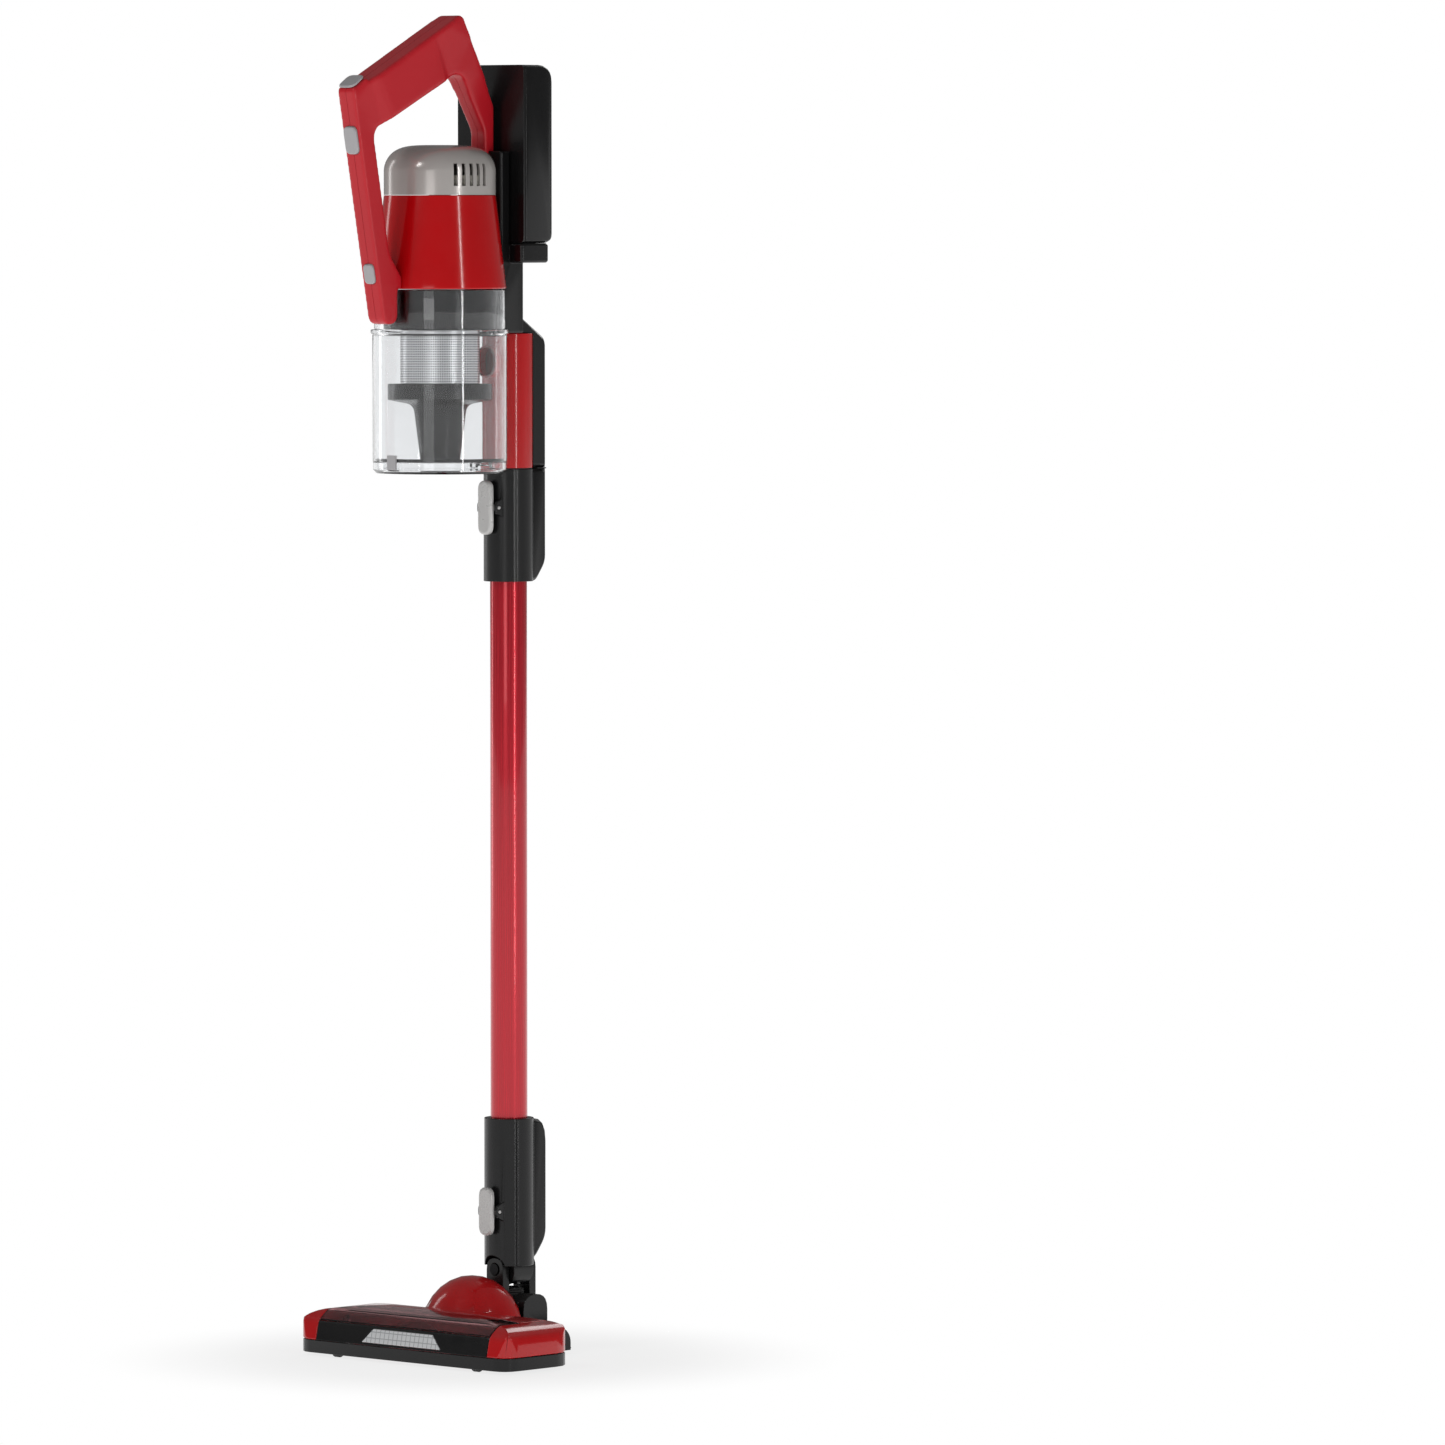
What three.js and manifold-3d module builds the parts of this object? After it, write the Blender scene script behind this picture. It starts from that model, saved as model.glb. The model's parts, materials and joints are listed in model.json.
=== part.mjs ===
// Upright cordless stick vacuum cleaner, standing on its flat floor head.
// Millimetres, +Z up. The wand stands on the line x = 0, y = 0 and the front faces -Y while the
// parts are drawn; the finished group is moved so that its box is centred over the origin.

import * as THREE from "three";
import { mergeVertices } from "three/addons/utils/BufferGeometryUtils.js";
import Module from "manifold-3d";

const wasm = await Module();
wasm.setup();

// ---------------------------------------------------------------- driving sizes

const GAP = 0.35; // clearance left between two pieces that touch
const RUN = 0.5; // radial clearance round a turning or sliding piece
const SKIN = 2.2; // wall of the moulded casings
const FAR = 400; // half the size of a block used only to cut
const ROUND = 28; // sides of the large round parts

const WAND = { radius: 16, wall: 1.2, bottom: 126, top: 706 };
const WRITTEN_TOP = 706; // wand top for which the heights of the hand unit below are written
const HAND_RISE = WAND.top - WRITTEN_TOP; // how far the hand unit stands above them

const CONNECTOR = {
  radius: 21.5, // round front part
  ribHalf: 15, // half width of the rear rib
  ribBack: 33, // the rib's rear face
  parting: -10, // plane between the front and rear half shells
  lowerBottom: 77,
  lowerTop: 205,
  upperBottom: 670,
  upperTop: 767,
};

const ROCKER = { halfWidth: 8, thick: 6, back: -25, pivotY: -23.6, pinRadius: 1.6, pinHalf: 12.4 };
const LOWER_ROCKER = { z: 125, height: 42 };
const UPPER_ROCKER = { z: 734, height: 47 };

const HEAD_HALF = 126; // half the width of the floor head
const HEAD = {
  half: HEAD_HALF,
  capInner: HEAD_HALF - 23, // inner face of the end caps
  front: -134.5,
  back: -50,
  top: 44, // height of the bar in the middle
  endTop: 37, // height of the bar at its ends
  clearance: 3, // sole above the floor
  humpHalf: 47,
  humpTop: 71,
  tongueHalf: 43,
  tongueBack: 32.5,
};

const ROLLER = { y: -98, z: 20, core: 13, bristle: 18.5, half: HEAD.capInner - 15, shaft: 3.5, rows: 6 };
const BELT = {
  x: 6.5 - HEAD.capInner,
  width: 5,
  bigRadius: 11,
  smallRadius: 5.5,
  thick: 1.5,
  motorY: -62.5,
  motorZ: 24,
};
const REAR_WHEEL = { radius: 9, width: 7, x: 35.7, y: 20, axle: 2 };
const FRONT_WHEEL = { radius: 5.5, width: 7, x: HEAD.capInner - 19, y: -125.6, axle: 1.3 };

const DRUM = { y: 2, z: 38, radius: 15, half: 21.5, earWidth: 8 };
const SWIVEL = { z: 74, radius: 15.5, front: -9.5, back: 14.5, pin: 5, armThick: 8, armHalf: 10 };

const CUP_RADIUS = 58;
const CUP_BACK = -26; // rear of the cup, just in front of the duct and the spine
const CUP = { y: CUP_BACK - CUP_RADIUS, radius: CUP_RADIUS, wall: 2.2, rim: 1.4, bottom: 765, top: 888 };
const COLLAR = { top: 922, radius: CUP_RADIUS - 1.5 };
const LID = { thick: 10 };
const MESH = { radius: CUP_RADIUS - 24, thick: 2, bottom: 843, top: 888 };
const CONE = { radius: 17, skirt: CUP_RADIUS - 13, bottom: 778 }; // black body that hangs below the mesh

const HOUSING = { bottom: 923, top: 1003, bottomRadius: CUP_RADIUS - 1, topRadius: CUP_RADIUS - 10 };
const DOME = { top: 1046, shoulder: 22, vents: 5, ventWidth: 3.6, ventHeight: 19 };
const MOTOR_RADIUS = HOUSING.topRadius - 12;
const MOTOR = { radius: MOTOR_RADIUS, bottom: 951, height: 58, fanRadius: MOTOR_RADIUS - 2, fanHeight: 12 };

const DUCT = { radius: 21, wall: 2.4, bottom: 768, top: 884, spigotBottom: 712, branchZ: 862, branchRadius: 14 };
const SPINE = { half: 24, front: -33.5, back: -22, lowBack: -5, top: 1041, bottom: 884.5 };
const RIB = { flareTop: 903 };

const BATTERY = { half: 39.7, front: -21.6, back: 16.3, bottom: 962, top: 1115, edge: 15, cellRadius: 9 };
const LIP = { bottom: 945, back: 12 };

const HANDLE = {
  strutHalf: 10,
  strutDeep: 17.8,
  gripHalf: 14,
  backHalf: 9,
  wall: 2.4,
  bevel: 3,
  gripBevel: 6,
};

// ---------------------------------------------------------------- finishes

const finish = (color, roughness, metalness = 0, opacity = 1) =>
  new THREE.MeshStandardMaterial({ color, roughness, metalness, opacity, transparent: opacity < 1 });

const RED_GLOSS = finish(0x9c0b12, 0.22);
const RED_SATIN = finish(0xa51d26, 0.4);
const RED_METAL = finish(0x9a1e28, 0.3, 0.7);
const BLACK = finish(0x131314, 0.35);
const BLACK_SOFT = finish(0x241b24, 0.8);
const GREY = finish(0x9d9ba0, 0.4);
const SILVER = finish(0x8f8b88, 0.3, 0.3);
const STEEL = finish(0xa9abad, 0.35, 1);
const RUBBER = finish(0x1b1b1c, 0.9);
const CLEAR = finish(0xe8ecee, 0.05, 0, 0.3);
const SMOKE = finish(0x4a4042, 0.1, 0, 0.5);
const BOARD = finish(0x14522a, 0.6);
const BRISTLE = finish(0x8c1a20, 0.9);
const FOAM = finish(0xb9b4a6, 1);
const COPPER = finish(0xb87333, 0.35, 1);

// ---------------------------------------------------------------- geometry helpers

/** A closed three.js geometry as a solid that can be joined and cut. */
function toSolid(geometry) {
  const bare = geometry.clone();
  bare.deleteAttribute("normal");
  bare.deleteAttribute("uv");
  const welded = mergeVertices(bare, 1e-4);
  return new wasm.Manifold(
    new wasm.Mesh({
      numProp: 3,
      vertProperties: Float32Array.from(welded.attributes.position.array),
      triVerts: Uint32Array.from(welded.index.array),
    }),
  );
}

/** A solid as a geometry for a mesh. */
function toGeometry(solid) {
  const mesh = solid.getMesh();
  const geometry = new THREE.BufferGeometry();
  geometry.setAttribute("position", new THREE.BufferAttribute(Float32Array.from(mesh.vertProperties), 3));
  geometry.setIndex(new THREE.BufferAttribute(Uint32Array.from(mesh.triVerts), 1));
  geometry.computeVertexNormals();
  return geometry;
}

const join = (...solids) => solids.reduce((whole, next) => whole.add(next));
const cut = (solid, ...tools) => tools.reduce((whole, next) => whole.subtract(next), solid);

/** A rectangular block between two corners. */
function block([x0, x1], [y0, y1], [z0, z1]) {
  const geometry = new THREE.BoxGeometry(x1 - x0, y1 - y0, z1 - z0);
  geometry.translate((x0 + x1) / 2, (y0 + y1) / 2, (z0 + z1) / 2);
  return toSolid(geometry);
}

/** A round bar along "x", "y" or "z" from one end to the other, centred at the two other coordinates. */
function bar(axis, [from, to], [a, b], radius, sides = 16) {
  const geometry = new THREE.CylinderGeometry(radius, radius, to - from, sides);
  geometry.translate(0, (from + to) / 2, 0);
  if (axis === "x") {
    geometry.rotateZ(-Math.PI / 2);
    geometry.translate(0, a, b);
  } else if (axis === "y") {
    geometry.translate(a, 0, b);
  } else {
    geometry.rotateX(Math.PI / 2);
    geometry.translate(a, b, 0);
  }
  return toSolid(geometry);
}

/** A closed outline from corners [u, v, radius], each corner rounded by its radius. */
function outline(corners) {
  const shape = new THREE.Shape();
  corners.forEach(([u, v, radius = 0], index) => {
    const before = corners[(index + corners.length - 1) % corners.length];
    const after = corners[(index + 1) % corners.length];
    const corner = new THREE.Vector2(u, v);
    const towards = (point) => {
      const step = new THREE.Vector2(point[0], point[1]).sub(corner);
      return corner.clone().add(step.setLength(Math.min(radius, step.length() * 0.49)));
    };
    const start = towards(before);
    const end = towards(after);
    if (index === 0) {
      shape.moveTo(start.x, start.y);
    } else {
      shape.lineTo(start.x, start.y);
    }
    if (radius > 0) {
      shape.quadraticCurveTo(u, v, end.x, end.y);
    }
  });
  shape.closePath();
  return shape;
}

/** The same convex outline with every edge moved in by a distance; corners keep their radii. */
function inset(corners, distance) {
  const turn = Math.sign(THREE.ShapeUtils.area(corners.map(([u, v]) => new THREE.Vector2(u, v))));
  const edges = corners.map(([u, v], index) => {
    const [nextU, nextV] = corners[(index + 1) % corners.length];
    const length = Math.hypot(nextU - u, nextV - v);
    const direction = [(nextU - u) / length, (nextV - v) / length];
    const shift = [-direction[1] * distance * turn, direction[0] * distance * turn];
    return { point: [u + shift[0], v + shift[1]], direction };
  });
  return corners.map(([, , radius = 0], index) => {
    const a = edges[(index + corners.length - 1) % corners.length];
    const b = edges[index];
    const cross = a.direction[0] * b.direction[1] - a.direction[1] * b.direction[0];
    const along =
      ((b.point[0] - a.point[0]) * b.direction[1] - (b.point[1] - a.point[1]) * b.direction[0]) / cross;
    return [a.point[0] + a.direction[0] * along, a.point[1] + a.direction[1] * along, Math.max(radius - distance, 0)];
  });
}

/**
 * A straight prism of an outline. Along "x" the outline holds (y, z), along "y" it holds (x, z) and
 * along "z" it holds (x, y). A bevel rounds the rims of both ends inside the outline.
 */
function prism(axis, shape, [from, to], bevel = 0, steps = 2, curve = 4) {
  const geometry = new THREE.ExtrudeGeometry(shape, {
    depth: to - from - 2 * bevel,
    curveSegments: curve,
    bevelEnabled: bevel > 0,
    bevelThickness: bevel,
    bevelSize: bevel,
    bevelOffset: -bevel,
    bevelSegments: steps,
  });
  geometry.translate(0, 0, bevel);
  if (axis === "x") {
    geometry.applyMatrix4(new THREE.Matrix4().set(0, 0, 1, from, 1, 0, 0, 0, 0, 1, 0, 0, 0, 0, 0, 1));
  } else if (axis === "y") {
    geometry.applyMatrix4(new THREE.Matrix4().set(1, 0, 0, 0, 0, 0, -1, to, 0, 1, 0, 0, 0, 0, 0, 1));
  } else {
    geometry.translate(0, 0, from);
  }
  return toSolid(geometry);
}

/** A body of revolution about an upright axis at (x, y); the profile holds [radius, z]. */
function turned(profile, [x, y], sides = ROUND) {
  const points = profile.map(([radius, z]) => new THREE.Vector2(radius, z));
  const geometry = new THREE.LatheGeometry(points, sides);
  geometry.rotateX(Math.PI / 2);
  geometry.translate(x, y, 0);
  const solid = toSolid(geometry);
  return solid.volume() > 0 ? solid : toSolid(flipped(geometry));
}

/** The geometry with its faces turned to point the other way. */
function flipped(geometry) {
  const index = Array.from(geometry.index.array);
  for (let i = 0; i < index.length; i += 3) {
    [index[i], index[i + 1]] = [index[i + 1], index[i]];
  }
  geometry.setIndex(index);
  return geometry;
}

/** A copy of a solid placed by a matrix, which may also mirror it. */
function placed(solid, matrix) {
  const geometry = toGeometry(solid).applyMatrix4(matrix);
  return toSolid(matrix.determinant() < 0 ? flipped(geometry) : geometry);
}

const mirrored = (solid) => placed(solid, new THREE.Matrix4().makeScale(-1, 1, 1));

/** A ring: a tube with open ends about an upright axis. */
const ring = (outer, inner, [z0, z1], centre, sides = ROUND) =>
  turned([[inner, z0], [outer, z0], [outer, z1], [inner, z1], [inner, z0]], centre, sides);

const rectangle = ([u0, u1], [v0, v1], radius = 0) =>
  outline([[u0, v0, radius], [u1, v0, radius], [u1, v1, radius], [u0, v1, radius]]);

const bodies = new THREE.Group();

/** Adds one named sub-part to the object. */
function part(name, solid, material, rise = 0) {
  const mesh = new THREE.Mesh(toGeometry(solid), material);
  mesh.name = name;
  mesh.position.z = rise;
  bodies.add(mesh);
}

// ---------------------------------------------------------------- floor head

const BASE_TOP = 14; // top of the black lower casing
const PANEL_TOP = 31; // top of the front panel
const WINDOW_BACK = -92; // rear edge of the roller window
const CHAMBER_BACK = -73; // front face of the wall behind the roller
const HUMP_BACK = -22.5; // rear face of the hump, just in front of the neck
const STRIP = { front: -71.5, back: -66.5 }; // felt seal strip under the sole

/** The outside of the floor head, moved inwards by a margin. */
function headEnvelope(margin) {
  const { half, front, back, top, endTop, clearance } = HEAD;
  const side = [
    [front, clearance],
    [front, BASE_TOP],
    [front + 3.5, PANEL_TOP, 4],
    [front + 15, top - 3, 8],
    [front + 37, top + 1, 12],
    [back - 18, top - 1, 10],
    [back, endTop, 8],
    [back, clearance],
  ];
  const frontView = [
    [-half, clearance],
    [half, clearance],
    [half, endTop - 5, 7],
    [half - 14, endTop + 3, 14],
    [half * 0.45, top + 0.5, 30],
    [-half * 0.45, top + 0.5, 30],
    [14 - half, endTop + 3, 14],
    [-half, endTop - 5, 7],
  ];
  const plan = [
    [-half, front, 16],
    [half, front, 16],
    [half, back, 22],
    [-half, back, 22],
  ];
  const sideSolid = prism("x", outline(inset(side, margin)), [-half, half], 0, 1, 3);
  const frontSolid = prism("y", outline(inset(frontView, margin)), [front, back], 0, 1, 3);
  const planSolid = prism("z", outline(inset(plan, margin)), [0, top + 10], 0, 1, 4);
  return sideSolid.intersect(frontSolid).intersect(planSolid);
}

/** The hump over the air way, moved inwards by a margin. */
function humpSolid(margin) {
  const base = 22;
  const y = -46;
  const geometry = new THREE.SphereGeometry(1, 24, 14);
  geometry.rotateX(Math.PI / 2);
  geometry.scale(HEAD.humpHalf - margin, 42 - margin, HEAD.humpTop - base - margin);
  geometry.translate(0, y, base);
  const keep = block([-FAR, FAR], [-FAR, HUMP_BACK], [BASE_TOP + GAP, FAR]);
  return toSolid(geometry).intersect(keep);
}

const outerHead = headEnvelope(0);
const innerHead = headEnvelope(SKIN);
const headSkin = outerHead.subtract(innerHead);

const roundBar = (x, y, z, radius, sides) => bar("x", x, [y, z], radius, sides);

/** A wheel pod beside the neck, with its wheel well. */
function wheelPod(side) {
  const { tongueHalf, tongueBack, clearance } = HEAD;
  const inner = DRUM.half + GAP + DRUM.earWidth;
  const shape = outline([
    [HUMP_BACK + GAP, clearance],
    [tongueBack, clearance, 4],
    [tongueBack, REAR_WHEEL.radius + 7, 8],
    [REAR_WHEEL.y + 2, REAR_WHEEL.radius + 16, 10],
    [HUMP_BACK + GAP, 27, 4],
  ]);
  const { x, y, radius, width } = REAR_WHEEL;
  const wellHalf = width / 2 + 1;
  const wellRound = roundBar([x - wellHalf, x + wellHalf], y, radius, radius + 1.5, 28);
  const wellOpen = block([x - wellHalf, x + wellHalf], [y - radius - 1.5, y + radius + 1.5], [0, radius]);
  const pod = cut(prism("x", shape, [inner, tongueHalf], 0, 1, 5), wellRound, wellOpen);
  const axle = roundBar([x - wellHalf - 1, x + wellHalf + 1], y, radius, REAR_WHEEL.axle, 12);
  const whole = join(pod, axle);
  return side > 0 ? whole : mirrored(whole);
}

/** An ear that holds one end of the neck drum. */
function drumEar(side) {
  const { y, z, radius, half, earWidth } = DRUM;
  const inner = half + GAP;
  const shape = outline([
    [y - radius, HEAD.clearance],
    [y + radius, HEAD.clearance],
    [y + radius, z + radius, 14],
    [y - radius, z + radius, 14],
  ]);
  const ear = cut(
    prism("x", shape, [inner, inner + earWidth], 0, 1, 5),
    roundBar([inner - 1, inner + earWidth - 2], y, z, 6 + RUN, 24),
  );
  return side > 0 ? ear : mirrored(ear);
}

/** Cheeks and axle of a front wheel. */
function frontWheelSeat(side) {
  const { x, y, radius, width, axle } = FRONT_WHEEL;
  const reach = width / 2 + 1;
  const cheeks = [-1, 1].map((end) => {
    const at = side * x + end * (reach + 0.9);
    return block([at - 0.9, at + 0.9], [y - 4, y + 4], [HEAD.clearance, radius + 3.5]);
  });
  return join(...cheeks, roundBar([side * x - reach - 1, side * x + reach + 1], y, radius, axle, 12));
}

function headBase() {
  const { back, clearance, tongueHalf, tongueBack } = HEAD;
  const floor = clearance + 2.5;
  const tray = cut(
    outerHead.intersect(block([-FAR, FAR], [-FAR, FAR], [clearance, BASE_TOP])),
    innerHead.intersect(block([-FAR, FAR], [-FAR, FAR], [floor, FAR])),
    block([-ROLLER.half - 1, ROLLER.half + 1], [-120.5, CHAMBER_BACK - 1.5], [0, floor + 1]),
  );
  const tongue = block([-tongueHalf, tongueHalf], [back - 4, tongueBack], [clearance, floor]);
  const wells = [-1, 1].map((side) =>
    block(
      [side * REAR_WHEEL.x - REAR_WHEEL.width / 2 - 1, side * REAR_WHEEL.x + REAR_WHEEL.width / 2 + 1],
      [REAR_WHEEL.y - REAR_WHEEL.radius - 1.5, REAR_WHEEL.y + REAR_WHEEL.radius + 1.5],
      [0, floor],
    ),
  );
  const frontWells = [-1, 1].map((side) =>
    block(
      [side * FRONT_WHEEL.x - FRONT_WHEEL.width / 2 - 1, side * FRONT_WHEEL.x + FRONT_WHEEL.width / 2 + 1],
      [FRONT_WHEEL.y - FRONT_WHEEL.radius - 1, FRONT_WHEEL.y + FRONT_WHEEL.radius + 1],
      [0, floor],
    ),
  );
  const stripSeat = block([-HEAD.capInner + 17, HEAD.capInner - 17], [STRIP.front - 0.5, STRIP.back + 0.5], [0, clearance + 1]);
  const sides = [-1, 1].map((side) => {
    const x = [side * (tongueHalf - 4), side * (tongueHalf - 2)].sort((a, b) => a - b);
    return block(x, [back - 1, HUMP_BACK + 1], [clearance, BASE_TOP]);
  });
  const plate = cut(join(tray, tongue, ...sides), ...wells, ...frontWells, stripSeat);
  const fittings = [-1, 1].flatMap((side) => [wheelPod(side), drumEar(side), frontWheelSeat(side)]);
  return join(plate, ...fittings);
}

function headCover() {
  const { capInner } = HEAD;
  const bar0 = headSkin.intersect(
    block([-capInner + GAP, capInner - GAP], [WINDOW_BACK + GAP, FAR], [BASE_TOP + GAP, FAR]),
  );
  const opened = cut(bar0, humpSolid(SKIN), block([-24, 24], [-60, 0], [BASE_TOP, 44.5]));
  const hump = cut(humpSolid(0), humpSolid(SKIN), innerHead, block([-23, 23], [-40, 0], [0, 45]));
  const rearPlate = block([-40, 40], [HUMP_BACK - 2, HUMP_BACK], [46, 62]).intersect(humpSolid(0));
  return join(opened, hump, rearPlate);
}

function endCap(side) {
  const { capInner } = HEAD;
  const x = side > 0 ? [capInner, FAR] : [-FAR, -capInner];
  const skin = headSkin.intersect(block(x, [-FAR, FAR], [BASE_TOP + GAP, FAR]));
  const wallX = side > 0 ? [capInner, capInner + 1.8] : [-capInner - 1.8, -capInner];
  const wall = outerHead.intersect(block(wallX, [-FAR, FAR], [BASE_TOP + GAP, FAR]));
  return join(skin, wall);
}

const glazing = () =>
  headSkin.intersect(
    block([-HEAD.capInner + GAP, HEAD.capInner - GAP], [-FAR, WINDOW_BACK], [PANEL_TOP + GAP, FAR]),
  );

const LENS = { bottom: 16.5, top: 28.5, bottomHalf: 47.5, topHalf: 35.5 };

/** The outline of the headlight in the front view, grown by a margin. */
const lensShape = (margin) =>
  outline([
    [-LENS.bottomHalf - margin * 1.6, LENS.bottom - margin],
    [LENS.bottomHalf + margin * 1.6, LENS.bottom - margin],
    [LENS.topHalf + margin * 1.6, LENS.top + margin],
    [-LENS.topHalf - margin * 1.6, LENS.top + margin],
  ]);

const frontPanel = () =>
  cut(
    headSkin.intersect(
      block([-HEAD.capInner + GAP, HEAD.capInner - GAP], [-FAR, -112], [BASE_TOP + GAP, PANEL_TOP]),
    ),
    prism("y", lensShape(GAP), [-140, -112]),
  );

const headlightLens = () => headSkin.intersect(prism("y", lensShape(0), [-140, -112]));

function headlightBoard() {
  const back = -126.8;
  const plate = block([-44, 44], [back - 1.4, back], [16, 29]);
  const lamps = [-2, -1, 0, 1, 2].map((step) =>
    block([step * 15 - 1.7, step * 15 + 1.7], [back - 2.6, back - 1.2], [20.5, 24]),
  );
  return join(plate, ...lamps);
}

/** A ring of teeth as an outline round (u, v). */
function toothed(teeth, radius, depth, [u, v]) {
  const points = [];
  for (let i = 0; i < teeth * 4; i += 1) {
    const angle = (Math.PI * 2 * i) / (teeth * 4);
    const reach = i % 4 < 2 ? radius : radius - depth;
    points.push([u + reach * Math.cos(angle), v + reach * Math.sin(angle)]);
  }
  return outline(points);
}

/** A brush roller: a core with rows of bristles that wind one way and back. */
function brushRoller() {
  const { y, z, core, bristle, half, shaft, rows } = ROLLER;
  const points = [];
  const rowHalf = 0.09;
  for (let row = 0; row < rows; row += 1) {
    const middle = (Math.PI * 2 * row) / rows;
    for (const [radius, offset] of [
      [core, -rowHalf],
      [bristle, -rowHalf * 0.6],
      [bristle, rowHalf * 0.6],
      [core, rowHalf],
      [core, Math.PI / rows],
    ]) {
      points.push([radius * Math.cos(middle + offset), radius * Math.sin(middle + offset)]);
    }
  }
  const geometry = new THREE.ExtrudeGeometry(outline(points), {
    depth: 2 * half - 4,
    steps: 4,
    bevelEnabled: false,
  });
  const position = geometry.attributes.position;
  for (let i = 0; i < position.count; i += 1) {
    const along = position.getZ(i) - half + 2;
    const turn = (Math.abs(along) / half) * 1.2;
    const [a, b] = [position.getX(i), position.getY(i)];
    position.setXYZ(
      i,
      along,
      y + a * Math.cos(turn) - b * Math.sin(turn),
      z + a * Math.sin(turn) + b * Math.cos(turn),
    );
  }
  const axle = roundBar([BELT.x - BELT.width / 2 - 1, half + 4], y, z, shaft, 16);
  const beltEnd = [BELT.x - BELT.width / 2, BELT.x + BELT.width / 2];
  const pulley = prism("x", toothed(14, BELT.bigRadius, 1, [y, z]), beltEnd);
  return join(toSolid(geometry), axle, pulley);
}

function motorPulley() {
  const { x, width, smallRadius, motorY, motorZ } = BELT;
  const disc = prism("x", toothed(8, smallRadius, 1, [motorY, motorZ]), [x - width / 2, x + width / 2]);
  return join(disc, roundBar([x, 2 - ROLLER.half], motorY, motorZ, 1.6, 12));
}

/** The loop round both pulleys, with the given play outside each one. */
function beltLoop(extra) {
  const { bigRadius, smallRadius, motorY, motorZ } = BELT;
  const span = Math.hypot(motorY - ROLLER.y, motorZ - ROLLER.z);
  const slope = Math.atan2(motorZ - ROLLER.z, motorY - ROLLER.y);
  const [big, small] = [bigRadius + extra, smallRadius + extra];
  const wrap = Math.acos((big - small) / span);
  const shape = new THREE.Shape();
  shape.absarc(ROLLER.y, ROLLER.z, big, slope + wrap, slope - wrap + Math.PI * 2, false);
  shape.absarc(motorY, motorZ, small, slope - wrap, slope + wrap, false);
  shape.closePath();
  return shape;
}

function driveBelt() {
  const x = [BELT.x - BELT.width / 2 + 0.5, BELT.x + BELT.width / 2 - 0.5];
  return prism("x", beltLoop(BELT.thick + GAP), x, 0, 1, 8).subtract(
    prism("x", beltLoop(GAP), [x[0] - 1, x[1] + 1], 0, 1, 8),
  );
}

function brushMotor() {
  const { motorY, motorZ } = BELT;
  const can = roundBar([-ROLLER.half, -26], motorY, motorZ, 8, 20);
  const foot = block([8 - ROLLER.half, -52], [motorY - 5, motorY + 5], [HEAD.clearance + 2.5 + GAP, motorZ - 6]);
  return cut(join(can, foot), roundBar([-ROLLER.half - 1, 4 - ROLLER.half], motorY, motorZ, 1.6 + RUN, 12));
}

function rollerBush(side) {
  const from = side * (ROLLER.half + GAP + 0.3);
  const x = [from, from + side * 2.6].sort((a, b) => a - b);
  const plate = prism(
    "x",
    outline([
      [ROLLER.y - 12, HEAD.clearance + 2.5 + GAP],
      [ROLLER.y + 12, HEAD.clearance + 2.5 + GAP],
      [ROLLER.y + 9, ROLLER.z + 12, 8],
      [ROLLER.y - 9, ROLLER.z + 12, 8],
    ]),
    x,
  );
  return cut(plate, roundBar([x[0] - 1, x[1] + 1], ROLLER.y, ROLLER.z, ROLLER.shaft + 0.08, 20));
}

function suctionDuct() {
  const outer = block([-20.5, 20.5], [CHAMBER_BACK, DRUM.y], [14.5, 40]);
  const inner = block([-18.5, 18.5], [CHAMBER_BACK - 1, DRUM.y + 1], [16.5, 38]);
  const wall = block([13 - HEAD.capInner, HEAD.capInner - 7], [CHAMBER_BACK, CHAMBER_BACK + 1.4], [7, FAR]).intersect(headEnvelope(SKIN + GAP));
  const drumRoom = roundBar([-FAR, FAR], DRUM.y, DRUM.z, DRUM.radius + GAP, 40);
  const behind = block([-FAR, FAR], [DRUM.y - 8, FAR], [0, FAR]);
  return cut(join(outer, wall), inner, drumRoom, behind);
}

const feltStrip = () =>
  block([-HEAD.capInner + 18, HEAD.capInner - 18], [STRIP.front, STRIP.back], [0, HEAD.clearance + 1 - GAP]);

function rollingWheel(side, { x, y, radius, width, axle }) {
  const at = side * x;
  const tyre = prism(
    "x",
    outline(Array.from({ length: 20 }, (_, i) => {
      const angle = (Math.PI * 2 * i) / 20;
      return [y + radius * Math.sin(angle), radius - radius * Math.cos(angle)];
    })),
    [at - width / 2, at + width / 2],
    1,
    1,
  );
  return cut(tyre, roundBar([at - width, at + width], y, radius, axle + 0.08, 16));
}

part("head_base", headBase(), BLACK);
part("head_cover", headCover(), RED_GLOSS);
part("end_cap_left", endCap(-1), RED_GLOSS);
part("end_cap_right", endCap(1), RED_GLOSS);
part("roller_window", glazing(), SMOKE);
part("front_panel", frontPanel(), BLACK);
part("headlight_lens", headlightLens(), CLEAR);
part("headlight_board", headlightBoard(), BOARD);
part("suction_duct", suctionDuct(), BLACK);
part("felt_strip", feltStrip(), BLACK_SOFT);
part("brush_motor", brushMotor(), STEEL);
part("roller_bush_left", rollerBush(-1), GREY);
part("roller_bush_right", rollerBush(1), GREY);
part("brush_roller", brushRoller(), BRISTLE);
part("motor_pulley", motorPulley(), GREY);
part("drive_belt", driveBelt(), RUBBER);
part("rear_wheel_left", rollingWheel(-1, REAR_WHEEL), RUBBER);
part("rear_wheel_right", rollingWheel(1, REAR_WHEEL), RUBBER);
part("front_wheel_left", rollingWheel(-1, FRONT_WHEEL), RUBBER);
part("front_wheel_right", rollingWheel(1, FRONT_WHEEL), RUBBER);

// ---------------------------------------------------------------- neck and lower connector

const upright = (z, [x, y], radius, sides = 28) => bar("z", z, [x, y], radius, sides);
const HERE = [0, 0]; // the wand's own axis

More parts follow.
